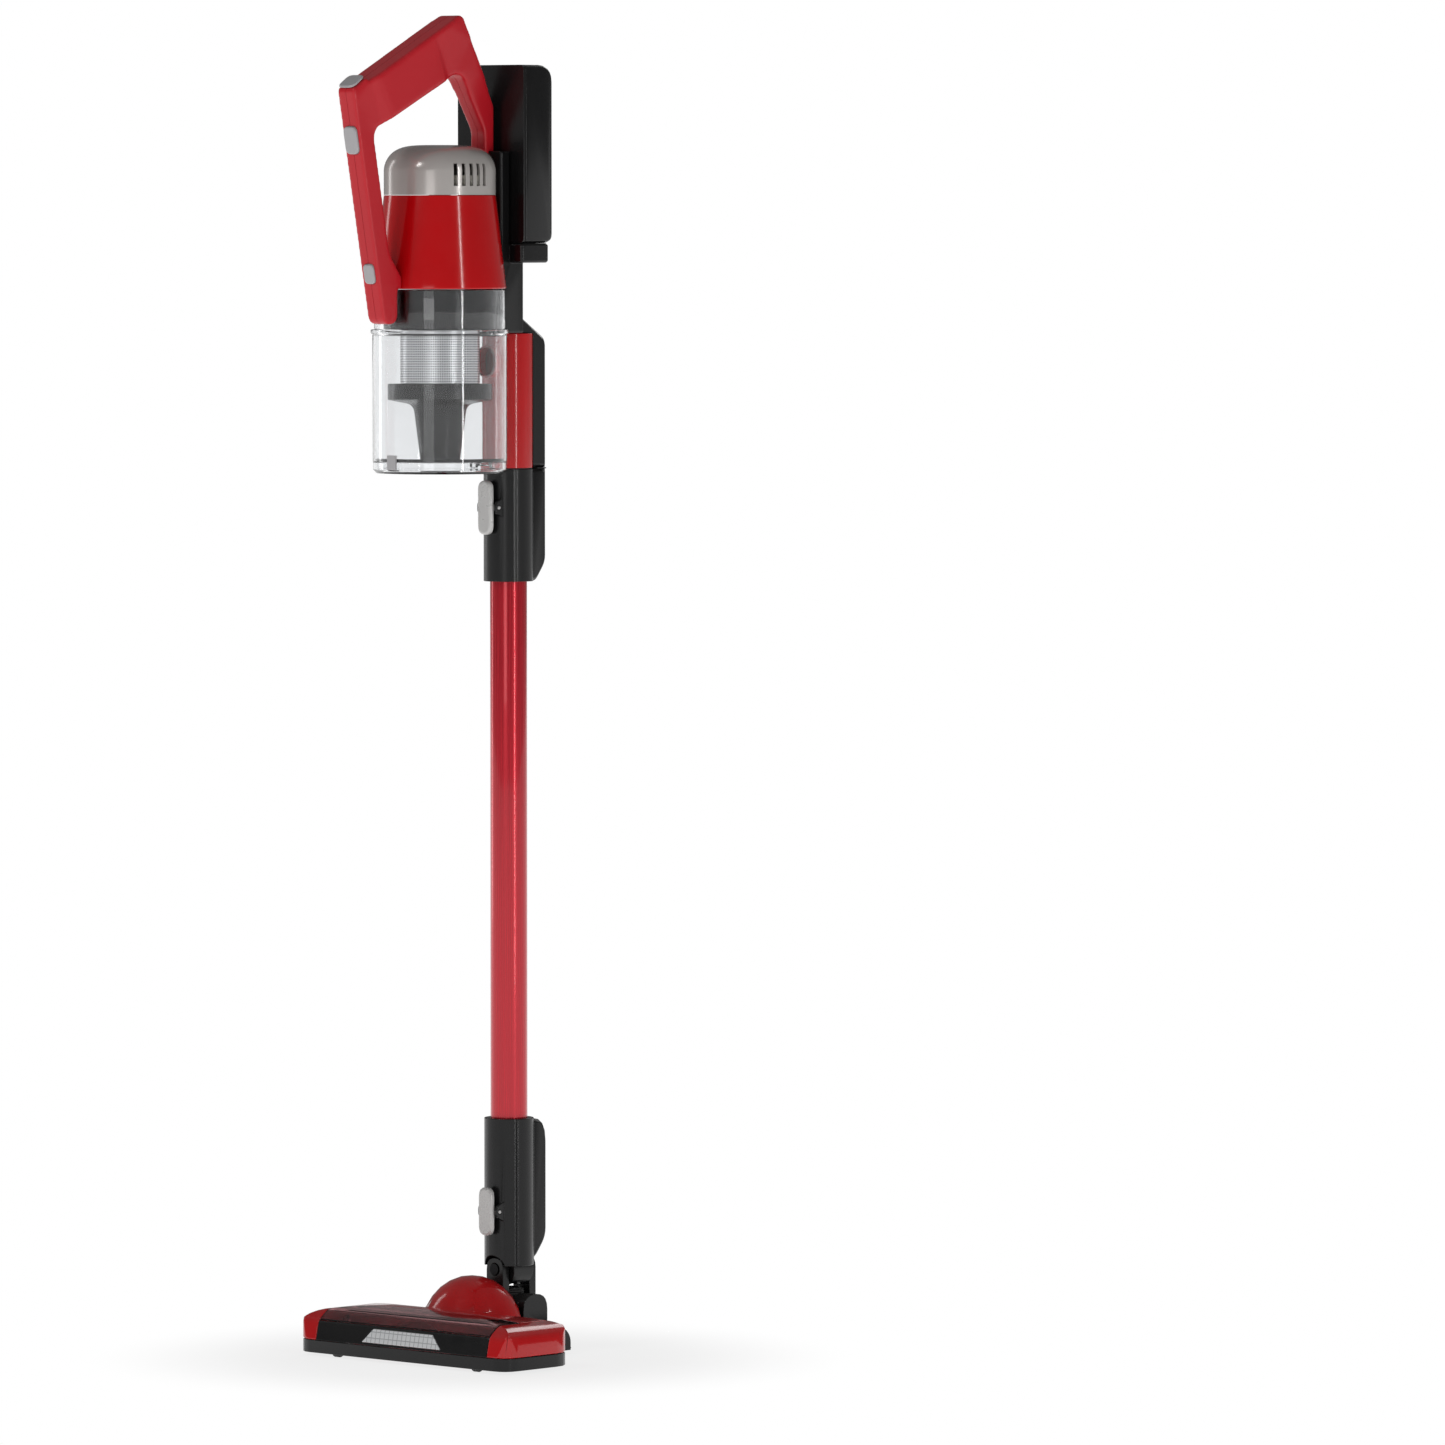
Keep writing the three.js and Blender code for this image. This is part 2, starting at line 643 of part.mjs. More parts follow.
function neckElbow() {
  const { y, z, radius, half } = DRUM;
  const { armThick, armHalf, front, back } = SWIVEL;
  const drum = roundBar([-half, half], y, z, radius, 28);
  const trunnions = roundBar([-half - 6, half + 6], y, z, 6, 20);
  const pipe = upright([z + 8, SWIVEL.z - SWIVEL.radius - 1], [0, y], 10, 24);
  const arm = (near, far, foot) => {
    const shape = outline([
      [-armHalf, foot],
      [armHalf, foot],
      [armHalf, SWIVEL.z + armHalf, armHalf],
      [-armHalf, SWIVEL.z + armHalf, armHalf],
    ]);
    return prism("y", shape, [near, far], 0, 1, 5);
  };
  const frontArm = arm(front - RUN - armThick, front - RUN, z + 4.5);
  const backArm = arm(back + RUN, back + RUN + armThick, z - 8);
  const airWay = join(
    roundBar([-half + 2.5, half - 2.5], y, z, radius - 2.5, 20),
    upright([z, SWIVEL.z], [0, y], 8, 20),
    block([-15, 15], [y - radius - 1, y - 5], [z - 8, z + 4]),
  );
  const pinHole = bar("y", [-FAR, FAR], [0, SWIVEL.z], SWIVEL.pin + GAP, 20);
  return cut(join(drum, trunnions, pipe, frontArm, backArm), airWay, pinHole);
}

/** One of the two stub pins on which the lower connector swivels. */
function swivelPin(from, to) {
  return bar("y", [from, to], [0, SWIVEL.z], SWIVEL.pin, 20);
}

/** The outside of a connector: a round front and a square rib behind, for a rib outline in (y, z). */
function connectorSolid([bottom, top], ribShape) {
  const round = upright([bottom, top], HERE, CONNECTOR.radius, 32);
  const rib = prism("x", ribShape, [-CONNECTOR.ribHalf, CONNECTOR.ribHalf], 3, 1, 4);
  return join(round, rib);
}

/** Two cheeks that hold a rocker by its pin, standing on the front of a connector. */
function rockerCheeks(z) {
  const { halfWidth, pivotY, pinRadius } = ROCKER;
  const shape = outline([
    [-17, z - 9],
    [-17, z + 9],
    [pivotY - 3.2, z + 4.5, 3],
    [pivotY - 3.2, z - 4.5, 3],
  ]);
  const inner = halfWidth + 0.8;
  const cheeks = [
    prism("x", shape, [inner, inner + 2.8]),
    prism("x", shape, [-inner - 2.8, -inner]),
  ];
  return { cheeks, hole: roundBar([-FAR, FAR], pivotY, z, pinRadius + GAP, 14) };
}

/** An oval rocker button with its pivot pin, lying on the front of a connector. */
function rocker(z, height) {
  const { halfWidth, thick, back, pivotY, pinRadius, pinHalf } = ROCKER;
  const face = outline([
    [-halfWidth, z - height / 2, halfWidth],
    [halfWidth, z - height / 2, halfWidth],
    [halfWidth, z + height / 2, halfWidth],
    [-halfWidth, z + height / 2, halfWidth],
  ]);
  const plate = prism("y", face, [back - thick, back], 1.6, 1, 4);
  const hub = block([-halfWidth + 1, halfWidth - 1], [back - 1, pivotY + pinRadius], [z - 2.6, z + 2.6]);
  const pin = roundBar([-pinHalf, pinHalf], pivotY, z, pinRadius, 14);
  return join(plate, hub, pin);
}

/** Splits a connector into its front and rear half shells. */
function halves(solid) {
  const { parting } = CONNECTOR;
  return {
    front: solid.intersect(block([-FAR, FAR], [-FAR, parting - GAP / 2], [-FAR, 3 * FAR])),
    rear: solid.intersect(block([-FAR, FAR], [parting + GAP / 2, FAR], [-FAR, 3 * FAR])),
  };
}

function lowerConnector() {
  const { lowerBottom, lowerTop, ribBack } = CONNECTOR;
  const ribShape = outline([
    [0, lowerBottom + 5],
    [19, lowerBottom + 5, 5],
    [ribBack, lowerBottom + 23, 8],
    [ribBack, lowerTop - 1, 20],
    [0, lowerTop - 1],
  ]);
  const knuckle = bar("y", [SWIVEL.front, SWIVEL.back], [0, SWIVEL.z], SWIVEL.radius, 28);
  const { cheeks, hole } = rockerCheeks(LOWER_ROCKER.z);
  const whole = join(connectorSolid([lowerBottom, lowerTop], ribShape), knuckle, ...cheeks);
  const archRadius = SWIVEL.armHalf + 2.4;
  const arches = [
    bar("y", [-FAR, SWIVEL.front], [0, SWIVEL.z], archRadius, 28),
    bar("y", [SWIVEL.back, FAR], [0, SWIVEL.z], archRadius, 28),
  ];
  const pinHole = bar("y", [-FAR, FAR], [0, SWIVEL.z], SWIVEL.pin + GAP, 20);
  const socket = upright([WAND.bottom - GAP, FAR], HERE, WAND.radius + GAP, 28);
  const airWay = join(
    upright([SWIVEL.z - 20, SWIVEL.z + 20], HERE, 10, 20),
    upright([SWIVEL.z + 18, WAND.bottom], HERE, 13, 24),
  );
  const channel = block([-9, 9], [WAND.radius + 3, ribBack - 3], [108, 182]);
  const wireHole = block([-4, 4], [10, WAND.radius + 4], [150, 158]);
  return halves(cut(whole, ...arches, pinHole, socket, airWay, hole, channel, wireHole));
}

const lower = lowerConnector();
const armFront = SWIVEL.front - RUN - SWIVEL.armThick;
const armBack = SWIVEL.back + RUN + SWIVEL.armThick;

part("neck_elbow", neckElbow(), BLACK);
part("swivel_pin_front", swivelPin(armFront - 1, SWIVEL.front + 3), STEEL);
part("swivel_pin_rear", swivelPin(SWIVEL.back - 3, armBack + 1), STEEL);
part("lower_connector", lower.front, BLACK);
part("lower_connector_rear", lower.rear, BLACK);
part("lower_release_button", rocker(LOWER_ROCKER.z, LOWER_ROCKER.height), GREY);

// ---------------------------------------------------------------- wand

function upperConnector() {
  const { upperBottom, upperTop, ribBack } = CONNECTOR;
  const ribShape = outline([
    [0, upperBottom],
    [21, upperBottom, 4],
    [ribBack, upperBottom + 16, 6],
    [ribBack, upperTop],
    [0, upperTop],
  ]);
  const { cheeks, hole } = rockerCheeks(UPPER_ROCKER.z);
  const whole = join(connectorSolid([upperBottom, upperTop], ribShape), ...cheeks);
  const wandBore = upright([upperBottom - 1, WRITTEN_TOP + GAP], HERE, WAND.radius + GAP, 28);
  const spigotBore = upright([DUCT.spigotBottom - 1, upperTop + 1], HERE, WAND.radius + RUN, 28);
  const airWay = upright([upperBottom, upperTop], HERE, WAND.radius - 2.4, 20);
  const channel = block([-9, 9], [WAND.radius + 5, ribBack - 3], [upperBottom + 22, upperTop + 1]);
  return halves(cut(whole, wandBore, spigotBore, airWay, hole, channel));
}

const upper = upperConnector();

part("wand_tube", ring(WAND.radius, WAND.radius - WAND.wall, [WAND.bottom, WAND.top], HERE), RED_METAL);
part("wand_cable", upright([WAND.bottom + 2, WAND.top - 2], [0, 12.9], 1.4, 8), RUBBER);
part("upper_connector", upper.front, BLACK, HAND_RISE);
part("upper_connector_rear", upper.rear, BLACK, HAND_RISE);
part("upper_release_button", rocker(UPPER_ROCKER.z, UPPER_ROCKER.height), GREY, HAND_RISE);

// ---------------------------------------------------------------- dust cup

const CUP_AXIS = [0, CUP.y];
const handPart = (name, solid, material) => part(name, solid, material, HAND_RISE);
const cupRoom = upright([0, 3 * FAR], CUP_AXIS, CUP.radius + CUP.rim + GAP, ROUND);

const branch = (radius, from, to) => bar("y", [from, to], [0, DUCT.branchZ], radius, 24);

function dustCup() {
  const { radius, wall, bottom, top } = CUP;
  const shell = turned(
    [
      [radius - wall, bottom + LID.thick],
      [radius, bottom + LID.thick],
      [radius, top - 4],
      [radius + CUP.rim, top - 3],
      [radius + CUP.rim, top],
      [radius - wall, top],
      [radius - wall, bottom + LID.thick],
    ],
    CUP_AXIS,
    ROUND,
  ).intersect(block([-FAR, FAR], [-FAR, CUP.y + radius], [0, 3 * FAR]));
  const hingeLugs = [-1, 1].map((side) => {
    const x = [side * 12 - 3, side * 12 + 3];
    return cut(
      block(x, [CUP.y + radius - 3, CUP.y + radius + 3.4], [bottom + 4.6, bottom + 13]),
      upright([0, 3 * FAR], CUP_AXIS, radius - wall, ROUND),
    );
  });
  const pinHole = roundBar([-FAR, FAR], CUP.y + radius + 0.4, bottom + 7.4, 1.3 + GAP, 12);
  return cut(join(shell, ...hingeLugs), branch(DUCT.branchRadius - 2, CUP.y + 20, FAR), pinHole);
}

function cupLid() {
  const { radius, bottom } = CUP;
  const plate = turned(
    [
      [0, bottom],
      [radius - 3, bottom],
      [radius, bottom + 3],
      [radius, bottom + LID.thick - GAP],
      [radius - 4, bottom + LID.thick - GAP],
      [radius - 4, bottom + 3],
      [0, bottom + 3],
    ],
    CUP_AXIS,
    ROUND,
  );
  const lugRoom = [-1, 1].map((side) =>
    block(
      [side * 12 - 3 - RUN, side * 12 + 3 + RUN],
      [CUP.y + radius - 4.5, FAR],
      [bottom + 3.6, bottom + LID.thick],
    ),
  );
  const pinY = CUP.y + radius + 0.4;
  const barrel = roundBar([-8, 8], pinY, bottom + 7.4, 2.4, 14);
  const pin = roundBar([-15.5, 15.5], pinY, bottom + 7.4, 1.3, 12);
  const latchRoom = block([-6, 6], [-FAR, CUP.y - radius + 3], [bottom + 3, bottom + LID.thick]);
  return join(cut(plate, ...lugRoom, latchRoom), barrel, pin);
}

const lidLatch = () =>
  block([-5, 5], [CUP.y - CUP.radius - 2, CUP.y - CUP.radius + 0.4], [CUP.bottom + 3.4, CUP.bottom + 16]).subtract(
    upright([CUP.bottom + LID.thick, 3 * FAR], CUP_AXIS, CUP.radius + GAP, ROUND),
  );

const cupSeal = () =>
  ring(CUP.radius - CUP.wall - GAP, CUP.radius - CUP.wall - 3, [CUP.bottom + LID.thick, CUP.bottom + 13], CUP_AXIS);

function meshFilter() {
  const { radius, thick, bottom, top } = MESH;
  return ring(radius, radius - thick, [bottom, top - GAP], CUP_AXIS, 32);
}

/** The cyclone's black body: a skirt and a cone that hang below the mesh. */
function cycloneBody() {
  const { bottom } = MESH;
  return turned(
    [
      [CONE.radius - 3, CONE.bottom],
      [CONE.radius, CONE.bottom],
      [CONE.radius + 6, bottom - 18],
      [CONE.skirt, bottom - 14],
      [CONE.skirt, bottom - GAP],
      [MESH.radius - 4, bottom - GAP],
      [MESH.radius - 6, bottom - 9],
      [CONE.radius + 2, bottom - 14],
      [CONE.radius - 3, CONE.bottom],
    ],
    CUP_AXIS,
    ROUND,
  );
}

handPart("dust_cup", dustCup(), CLEAR);
handPart("cup_lid", cupLid(), SMOKE);
handPart("lid_latch", lidLatch(), GREY);
handPart("cup_seal", cupSeal(), RUBBER);
handPart("mesh_filter", meshFilter(), STEEL);
handPart("cyclone_body", cycloneBody(), BLACK);

// ---------------------------------------------------------------- motor housing

const housingSlope = (HOUSING.bottomRadius - HOUSING.topRadius) / (HOUSING.top - HOUSING.bottom);
const housingRadius = (z) => HOUSING.bottomRadius - housingSlope * (z - HOUSING.bottom);

/** The outside of the motor housing grown by a margin. */
const housingSolid = (margin) =>
  turned(
    [
      [0, HOUSING.bottom],
      [HOUSING.bottomRadius + margin, HOUSING.bottom],
      [HOUSING.topRadius + margin, HOUSING.top],
      [0, HOUSING.top],
    ],
    CUP_AXIS,
    ROUND,
  );

function motorHousing() {
  const { bottom, top, bottomRadius, topRadius } = HOUSING;
  return turned(
    [
      [MOTOR.radius - 2, bottom],
      [bottomRadius, bottom],
      [topRadius, top],
      [topRadius - SKIN, top],
      [bottomRadius - SKIN, bottom + SKIN],
      [MOTOR.radius - 2, bottom + SKIN],
      [MOTOR.radius - 2, bottom],
    ],
    CUP_AXIS,
    ROUND,
  );
}

/** The dome's outside profile from its rim to the top, moved inwards by a margin. */
function domeProfile(margin) {
  const { topRadius, top } = HOUSING;
  const rise = DOME.top - top - GAP;
  const points = [[topRadius - margin, top + GAP]];
  const steps = 4;
  for (let i = 0; i <= steps; i += 1) {
    const angle = (Math.PI / 2) * (i / steps);
    const reach = (topRadius - margin) * Math.cos(angle) ** 0.45;
    const height = (rise - DOME.shoulder) + (DOME.shoulder - margin) * Math.sin(angle) ** 1.1;
    points.push([i === steps ? 0 : reach, top + GAP + height]);
  }
  return points;
}

const domeSolid = (margin) => {
  const outside = domeProfile(margin);
  return turned([[0, outside[0][1]], ...outside], CUP_AXIS, ROUND);
};

function domeCap() {
  const shell = domeSolid(0).subtract(
    join(domeSolid(SKIN), upright([HOUSING.top, HOUSING.top + 8], CUP_AXIS, HOUSING.topRadius - SKIN, ROUND)),
  );
  const slots = [];
  for (const side of [0, Math.PI]) {
    for (let i = 0; i < DOME.vents; i += 1) {
      const spread = ((i - (DOME.vents - 1) / 2) * 9 - 11) * (Math.PI / 180);
      const z = [HOUSING.top + 8, HOUSING.top + 8 + DOME.ventHeight];
      const slot = block([38, 56], [-DOME.ventWidth / 2, DOME.ventWidth / 2], z);
      const turnTo = new THREE.Matrix4().makeRotationZ(side === 0 ? spread : side - spread);
      turnTo.setPosition(0, CUP.y, 0);
      slots.push(placed(slot, turnTo));
    }
  }
  return cut(shell, ...slots);
}

const collar = () => ring(COLLAR.radius, COLLAR.radius - CUP.wall, [CUP.top + GAP, COLLAR.top], CUP_AXIS, ROUND);

/** The black plate that carries the mesh and cone, clipped inside the clear collar. */
function cycloneHead() {
  return turned(
    [
      [14, CUP.top + GAP],
      [COLLAR.radius - CUP.wall - 6, CUP.top + GAP],
      [COLLAR.radius - CUP.wall - 4, COLLAR.top],
      [MOTOR.radius + 2, COLLAR.top],
      [MOTOR.radius, CUP.top + 4],
      [14, CUP.top + 4],
      [14, CUP.top + GAP],
    ],
    CUP_AXIS,
    ROUND,
  );
}

function suctionMotor() {
  const { radius, bottom, height, fanHeight } = MOTOR;
  const shell = turned(
    [
      [0, bottom + fanHeight + 5],
      [radius, bottom + fanHeight + 5],
      [radius, bottom + height - 14],
      [radius - 12, bottom + height - 8],
      [10, bottom + height - 8],
      [8, bottom + height],
      [0, bottom + height],
    ],
    CUP_AXIS,
    24,
  );
  return cut(shell, upright([bottom, bottom + 30], CUP_AXIS, 3 + RUN, 16));
}

function impeller() {
  const { fanRadius, bottom, fanHeight } = MOTOR;
  const disc = upright([bottom + fanHeight - 2, bottom + fanHeight], CUP_AXIS, fanRadius, 28);
  const hub = upright([bottom + 1, bottom + fanHeight], CUP_AXIS, 8, 16);
  const shaft = upright([bottom + fanHeight, bottom + 28], CUP_AXIS, 3, 16);
  const blades = Array.from({ length: 7 }, (_, i) => {
    const matrix = new THREE.Matrix4().makeRotationZ((Math.PI * 2 * i) / 7);
    matrix.setPosition(0, CUP.y, 0);
    return placed(block([6, fanRadius - 2], [-0.8, 0.8], [bottom + 2, bottom + fanHeight]), matrix);
  });
  return join(disc, hub, shaft, ...blades);
}

/** The ring that holds the motor inside the housing. */
function motorMount() {
  const z = [MOTOR.bottom + 26, MOTOR.bottom + 34];
  return ring(housingRadius(z[1]) - SKIN - 0.8, MOTOR.radius + GAP, z, CUP_AXIS, 32);
}

const filterDisc = (radius, z, hole) => ring(radius, hole, z, CUP_AXIS, 28);

handPart("cyclone_collar", collar(), CLEAR);
handPart("cyclone_head", cycloneHead(), BLACK);
handPart("motor_housing", motorHousing(), RED_GLOSS);
handPart("dome_cap", domeCap(), SILVER);
handPart("suction_motor", suctionMotor(), STEEL);
handPart("impeller", impeller(), BLACK);
handPart("motor_mount", motorMount(), RUBBER);
handPart("pre_filter", filterDisc(MOTOR.radius + 6, [HOUSING.bottom + SKIN + GAP, HOUSING.bottom + 18], 3), FOAM);
handPart("exhaust_filter", filterDisc(HOUSING.topRadius - 8, [HOUSING.top + 9, HOUSING.top + 17], 3), FOAM);

// ---------------------------------------------------------------- duct, spine and battery

function intakeDuct() {
  const { radius, wall, bottom, top, spigotBottom, branchRadius } = DUCT;
  const tube = upright([bottom, top], HERE, radius, 40);
  const spigot = upright([spigotBottom, bottom + 1], HERE, WAND.radius, 36);
  const inlet = branch(branchRadius, CUP.y + 30, 0).subtract(cupRoom);
  const bore = upright([bottom + wall, top - wall], HERE, radius - wall, 36);
  const spigotBore = upright([spigotBottom - 1, bottom + wall + 1], HERE, WAND.radius - 2.2, 30);
  return cut(join(tube, spigot, inlet), bore, spigotBore, branch(branchRadius - 2, CUP.y, 0));
}

function ductCover() {
  const { ribHalf, ribBack } = CONNECTOR;
  const rib = prism(
    "x",
    outline([
      [SPINE.lowBack + GAP, DUCT.bottom],
      [ribBack, DUCT.bottom],
      [ribBack, RIB.flareTop - 24, 6],
      [SPINE.lowBack + GAP, RIB.flareTop],
    ]),
    [-ribHalf, ribHalf],
    3,
    1,
    5,
  );
  return rib.subtract(upright([DUCT.bottom - 1, DUCT.top + GAP], HERE, DUCT.radius + GAP, 40));
}

function spine() {
  const { half, front, back, lowBack, top, bottom } = SPINE;
  const column = prism(
    "x",
    outline([
      [front, bottom],
      [lowBack, bottom],
      [lowBack, LIP.bottom + 2, 2],
      [back, LIP.bottom + 2],
      [back, top],
      [front, top],
    ]),
    [-half, half],
    1.5,
    1,
    3,
  );
  const lip = prism(
    "z",
    rectangle([-BATTERY.half + 1, BATTERY.half - 1], [back - 1, LIP.back], 5),
    [LIP.bottom, BATTERY.bottom - GAP],
    1.5,
    1,
    3,
  );
  const rails = [-1, 1].map((side) =>
    block([side * 13 - 2, side * 13 + 2], [back - 1, back + 3.4], [BATTERY.bottom + 3, top - 4]),
  );
  const boardRoom = block([-19, 19], [-29.4, -24.2], [955, 1026]);
  const wireHole = block([-4, 4], [-27, back + 1], [968, 976]);
  const latchRoom = block([-9, 9], [LIP.back - 7, LIP.back + 5], [LIP.bottom + 3, BATTERY.bottom + 1]);
  return cut(
    join(column, lip, ...rails),
    housingSolid(GAP),
    cupRoom.intersect(block([-FAR, FAR], [-FAR, FAR], [0, HOUSING.bottom])),
    boardRoom,
    wireHole,
    latchRoom,
  );
}

function controlBoard() {
  const board = block([-18, 18], [-28.6, -27], [957, 1024]);
  const chips = [965, 985, 1005].map((z) => block([-6, 6], [-27.2, -24.8], [z, z + 10]));
  return join(board, ...chips);
}

function batteryCase() {
  const { half, front, back, bottom, top, edge } = BATTERY;
  const side = [
    [front + 2.4, bottom],
    [back, bottom, 8],
    [back, top, edge],
    [front + 2.4, top],
  ];
  const shell = prism("x", outline(side), [-half, half], 5, 2, 5);
  const hollow = prism("x", outline(inset(side, SKIN)), [-half + SKIN + 2, half - SKIN - 2], 0, 1, 4);
  const openFront = block([-half + 6, half - 6], [front, front + 8], [bottom + 6, top - 6]);
  const railRoom = [-1, 1].map((side) =>
    block([side * 13 - 3, side * 13 + 3], [front, front + 6], [bottom - 1, bottom + 8]),
  );
  return cut(shell, hollow, openFront, ...railRoom);
}

function batteryPlate() {
  const { half, front, bottom, top } = BATTERY;
  const plate = prism("y", rectangle([-half, half], [bottom, top], 5), [front, front + 2.4 - GAP], 0, 1, 4);
  const slots = [-1, 1].map((side) =>
    block([side * 13 - 3, side * 13 + 3], [front - 1, front + 4], [bottom - 1, SPINE.top - 2]),
  );
  return cut(plate, ...slots);
}

function batteryCells() {
  const { cellRadius, bottom } = BATTERY;
  const y = 0.5;
  const pitch = BATTERY.half - SKIN - 3 - cellRadius; // from one column of cells to the next
  const cells = [-1, 0, 1].flatMap((column) =>
    [bottom + 5, bottom + 76].map((z) => upright([z, z + 65], [column * pitch, y], cellRadius, 12)),
  );
  const span = [-pitch - 4, pitch + 4];
  const strap = block(span, [y - 3, y + 3], [bottom + 66, bottom + 80]);
  const holders = [bottom + 12, bottom + 132].map((z) => block(span, [y - 3, y + 3], [z, z + 4]));
  return join(...cells, strap, ...holders);
}

function batteryLatch() {
  const y = LIP.back;
  const tab = block([-8.4, 8.4], [y - 4.4, y + 1.6], [LIP.bottom + 3.6, BATTERY.bottom - GAP - 0.4]);
  return tab;
}

handPart("intake_duct", intakeDuct(), RED_GLOSS);
handPart("duct_cover", ductCover(), BLACK);
handPart("spine", spine(), BLACK);
handPart("control_board", controlBoard(), BOARD);
handPart("battery_case", batteryCase(), BLACK);
handPart("battery_plate", batteryPlate(), BLACK);
handPart("battery_cells", batteryCells(), COPPER);
handPart("battery_latch", batteryLatch(), GREY);

// ---------------------------------------------------------------- handle

const STRUT_LEAN = 0.186; // how far the front strut leans forward per unit of height
const STRUT_FOOT = { y: CUP.y - CUP.radius - 19, z: 893 };
const STRUT_TOP = 1093; // front of the strut's slanted top
const STRUT_TAIL = 1103.5; // back of the strut's slanted top
const strutFront = (z) => STRUT_FOOT.y - STRUT_LEAN * (z - STRUT_FOOT.z);

const strutCorners = [
  [strutFront(STRUT_FOOT.z), STRUT_FOOT.z, 8],
  [strutFront(STRUT_FOOT.z) + HANDLE.strutDeep, STRUT_FOOT.z, 6],
  [strutFront(STRUT_TAIL) + HANDLE.strutDeep, STRUT_TAIL],
  [strutFront(STRUT_TOP), STRUT_TOP],
];

const GRIP_LOW = 1053.5; // underside of the grip where it leaves the strut
const GRIP_HIGH = 1099.3; // its top there
const gripCorners = [
  [strutFront(GRIP_LOW) + 6.85, GRIP_LOW],
  [-57, 1116, 11],
  [-68, 1162, 15],
  [strutFront(GRIP_HIGH) + 16.37, GRIP_HIGH],
];

const backCorners = [
  [-37.5, 1028],
  [-37.5, 1058, 14],
  [-66, 1106],
  [-70, 1150],
  [-60, 1143],
  [-26, 1080, 12],
  [-26, 1028],
];

/** The whole loop handle before it is hollowed, or its hollow when the margin is the wall. */
function handleSolid(margin) {
  const member = (corners, half, bevel) =>
    prism("x", outline(inset(corners, margin)), [-half + margin, half - margin], bevel - margin * 0.5, margin > 0 ? 1 : 2, 3);
  return join(
    member(strutCorners, HANDLE.strutHalf, HANDLE.bevel),
    member(gripCorners, HANDLE.gripHalf, HANDLE.gripBevel),
    member(backCorners, HANDLE.backHalf, HANDLE.bevel),
  );
}

/** A point along the grip's underside and some way up into the grip. */
function underGrip(along, deep) {
  const [start, end] = gripCorners;
  const length = Math.hypot(end[0] - start[0], end[1] - start[1]);
  const step = [(end[0] - start[0]) / length, (end[1] - start[1]) / length];
  return [start[0] + step[0] * along - step[1] * deep, start[1] + step[1] * along + step[0] * deep];
}

const PAD = { from: 31.5, to: 108, proud: 0.45, deep: 5.3 };
const padCorners = [
  underGrip(PAD.from, -PAD.proud),
  [...underGrip(PAD.to, -PAD.proud), 2],
  underGrip(PAD.to, PAD.deep),
  underGrip(PAD.from, PAD.deep),
];

const gripPad = () => prism("x", outline(padCorners), [-9.5, 9.5], 1, 1, 3);

/** A button on the sloping front of the strut, reaching from in front of it to inside it. */
function strutButton(z, halfWidth, halfHeight, stand, reach) {
  const shape = rectangle([-halfWidth, halfWidth], [-halfHeight, halfHeight], halfWidth * 0.75);
  const key = prism("y", shape, [-stand, reach], 1, 1, 5);
  const lean = new THREE.Matrix4().makeRotationX(Math.atan(STRUT_LEAN));
  lean.setPosition(0, strutFront(z), z);
  return placed(key, lean);
}

const POWER = { z: 1049.7, halfWidth: 7.4, halfHeight: 12 };
const RELEASE = { z: 936, halfWidth: 6, halfHeight: 8.6 };

const powerButton = (grow) =>
  strutButton(POWER.z, POWER.halfWidth + grow, POWER.halfHeight + grow, 2.6, 3.4 + grow * 6);
const cupReleaseButton = (grow) =>
  strutButton(RELEASE.z, RELEASE.halfWidth + grow, RELEASE.halfHeight + grow, 2.2, 3.4 + grow * 6);

function handleCap() {
  const rise = STRUT_TAIL - STRUT_TOP;
  const run = strutFront(STRUT_TAIL) + HANDLE.strutDeep - strutFront(STRUT_TOP);
  const tilt = Math.atan2(rise, run);
  const length = Math.hypot(rise, run);
  const shape = rectangle([-HANDLE.strutHalf + 0.5, HANDLE.strutHalf - 0.5], [-length / 2 + 0.4, length / 2 - 0.4], 6);
  const disc = prism("z", shape, [GAP, 2.8], 0.9, 1, 5);
  const lean = new THREE.Matrix4().makeRotationX(tilt);
  lean.setPosition(0, strutFront(STRUT_TOP) + run / 2, STRUT_TOP + rise / 2);
  return placed(disc, lean);
}

function handle() {
  const padRoom = prism("x", outline(inset(padCorners, -GAP)), [-9.5 - GAP, 9.5 + GAP]);
  const spineRoom = block([-FAR, FAR], [SPINE.front - GAP, SPINE.back + GAP], [1000, SPINE.top + GAP]);
  return cut(
    handleSolid(0),
    handleSolid(HANDLE.wall),
    padRoom,
    powerButton(GAP),
    cupReleaseButton(GAP),
    housingSolid(GAP),
    domeSolid(-GAP * 2),
    spineRoom,
    upright([CUP.bottom, COLLAR.top + 1], CUP_AXIS, CUP.radius + 2.2, ROUND),
  );
}

const loop = handle();

handPart("handle_left", loop.intersect(block([-FAR, -GAP / 2], [-FAR, FAR], [0, 3 * FAR])), RED_SATIN);
handPart("handle_right", loop.intersect(block([GAP / 2, FAR], [-FAR, FAR], [0, 3 * FAR])), RED_SATIN);
handPart("handle_cap", handleCap(), GREY);
handPart("grip_pad", gripPad(), BLACK_SOFT);
handPart("power_button", powerButton(0), GREY);
handPart("cup_release_button", cupReleaseButton(0), GREY);

const box = new THREE.Box3().setFromObject(bodies);
const middle = box.getCenter(new THREE.Vector3());
bodies.position.set(0, -middle.y, 0);

const vacuum = new THREE.Group();
vacuum.add(bodies);
vacuum.updateMatrixWorld(true);

export default vacuum;
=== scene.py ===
"""Looks of an upright cordless stick vacuum cleaner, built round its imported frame.

Lengths are in metres, +Z is up along the wand and -Y is the front of the floor head. Shells are
fine copies of the frame's solids with eased edges, and round bodies are turned anew. Each finish
is a material built from shader node groups that several materials share.
"""

import json
import logging
import math
from collections.abc import Callable, Sequence
from dataclasses import dataclass, field
from enum import Enum

import bmesh
import bpy
from mathutils import Matrix, Vector


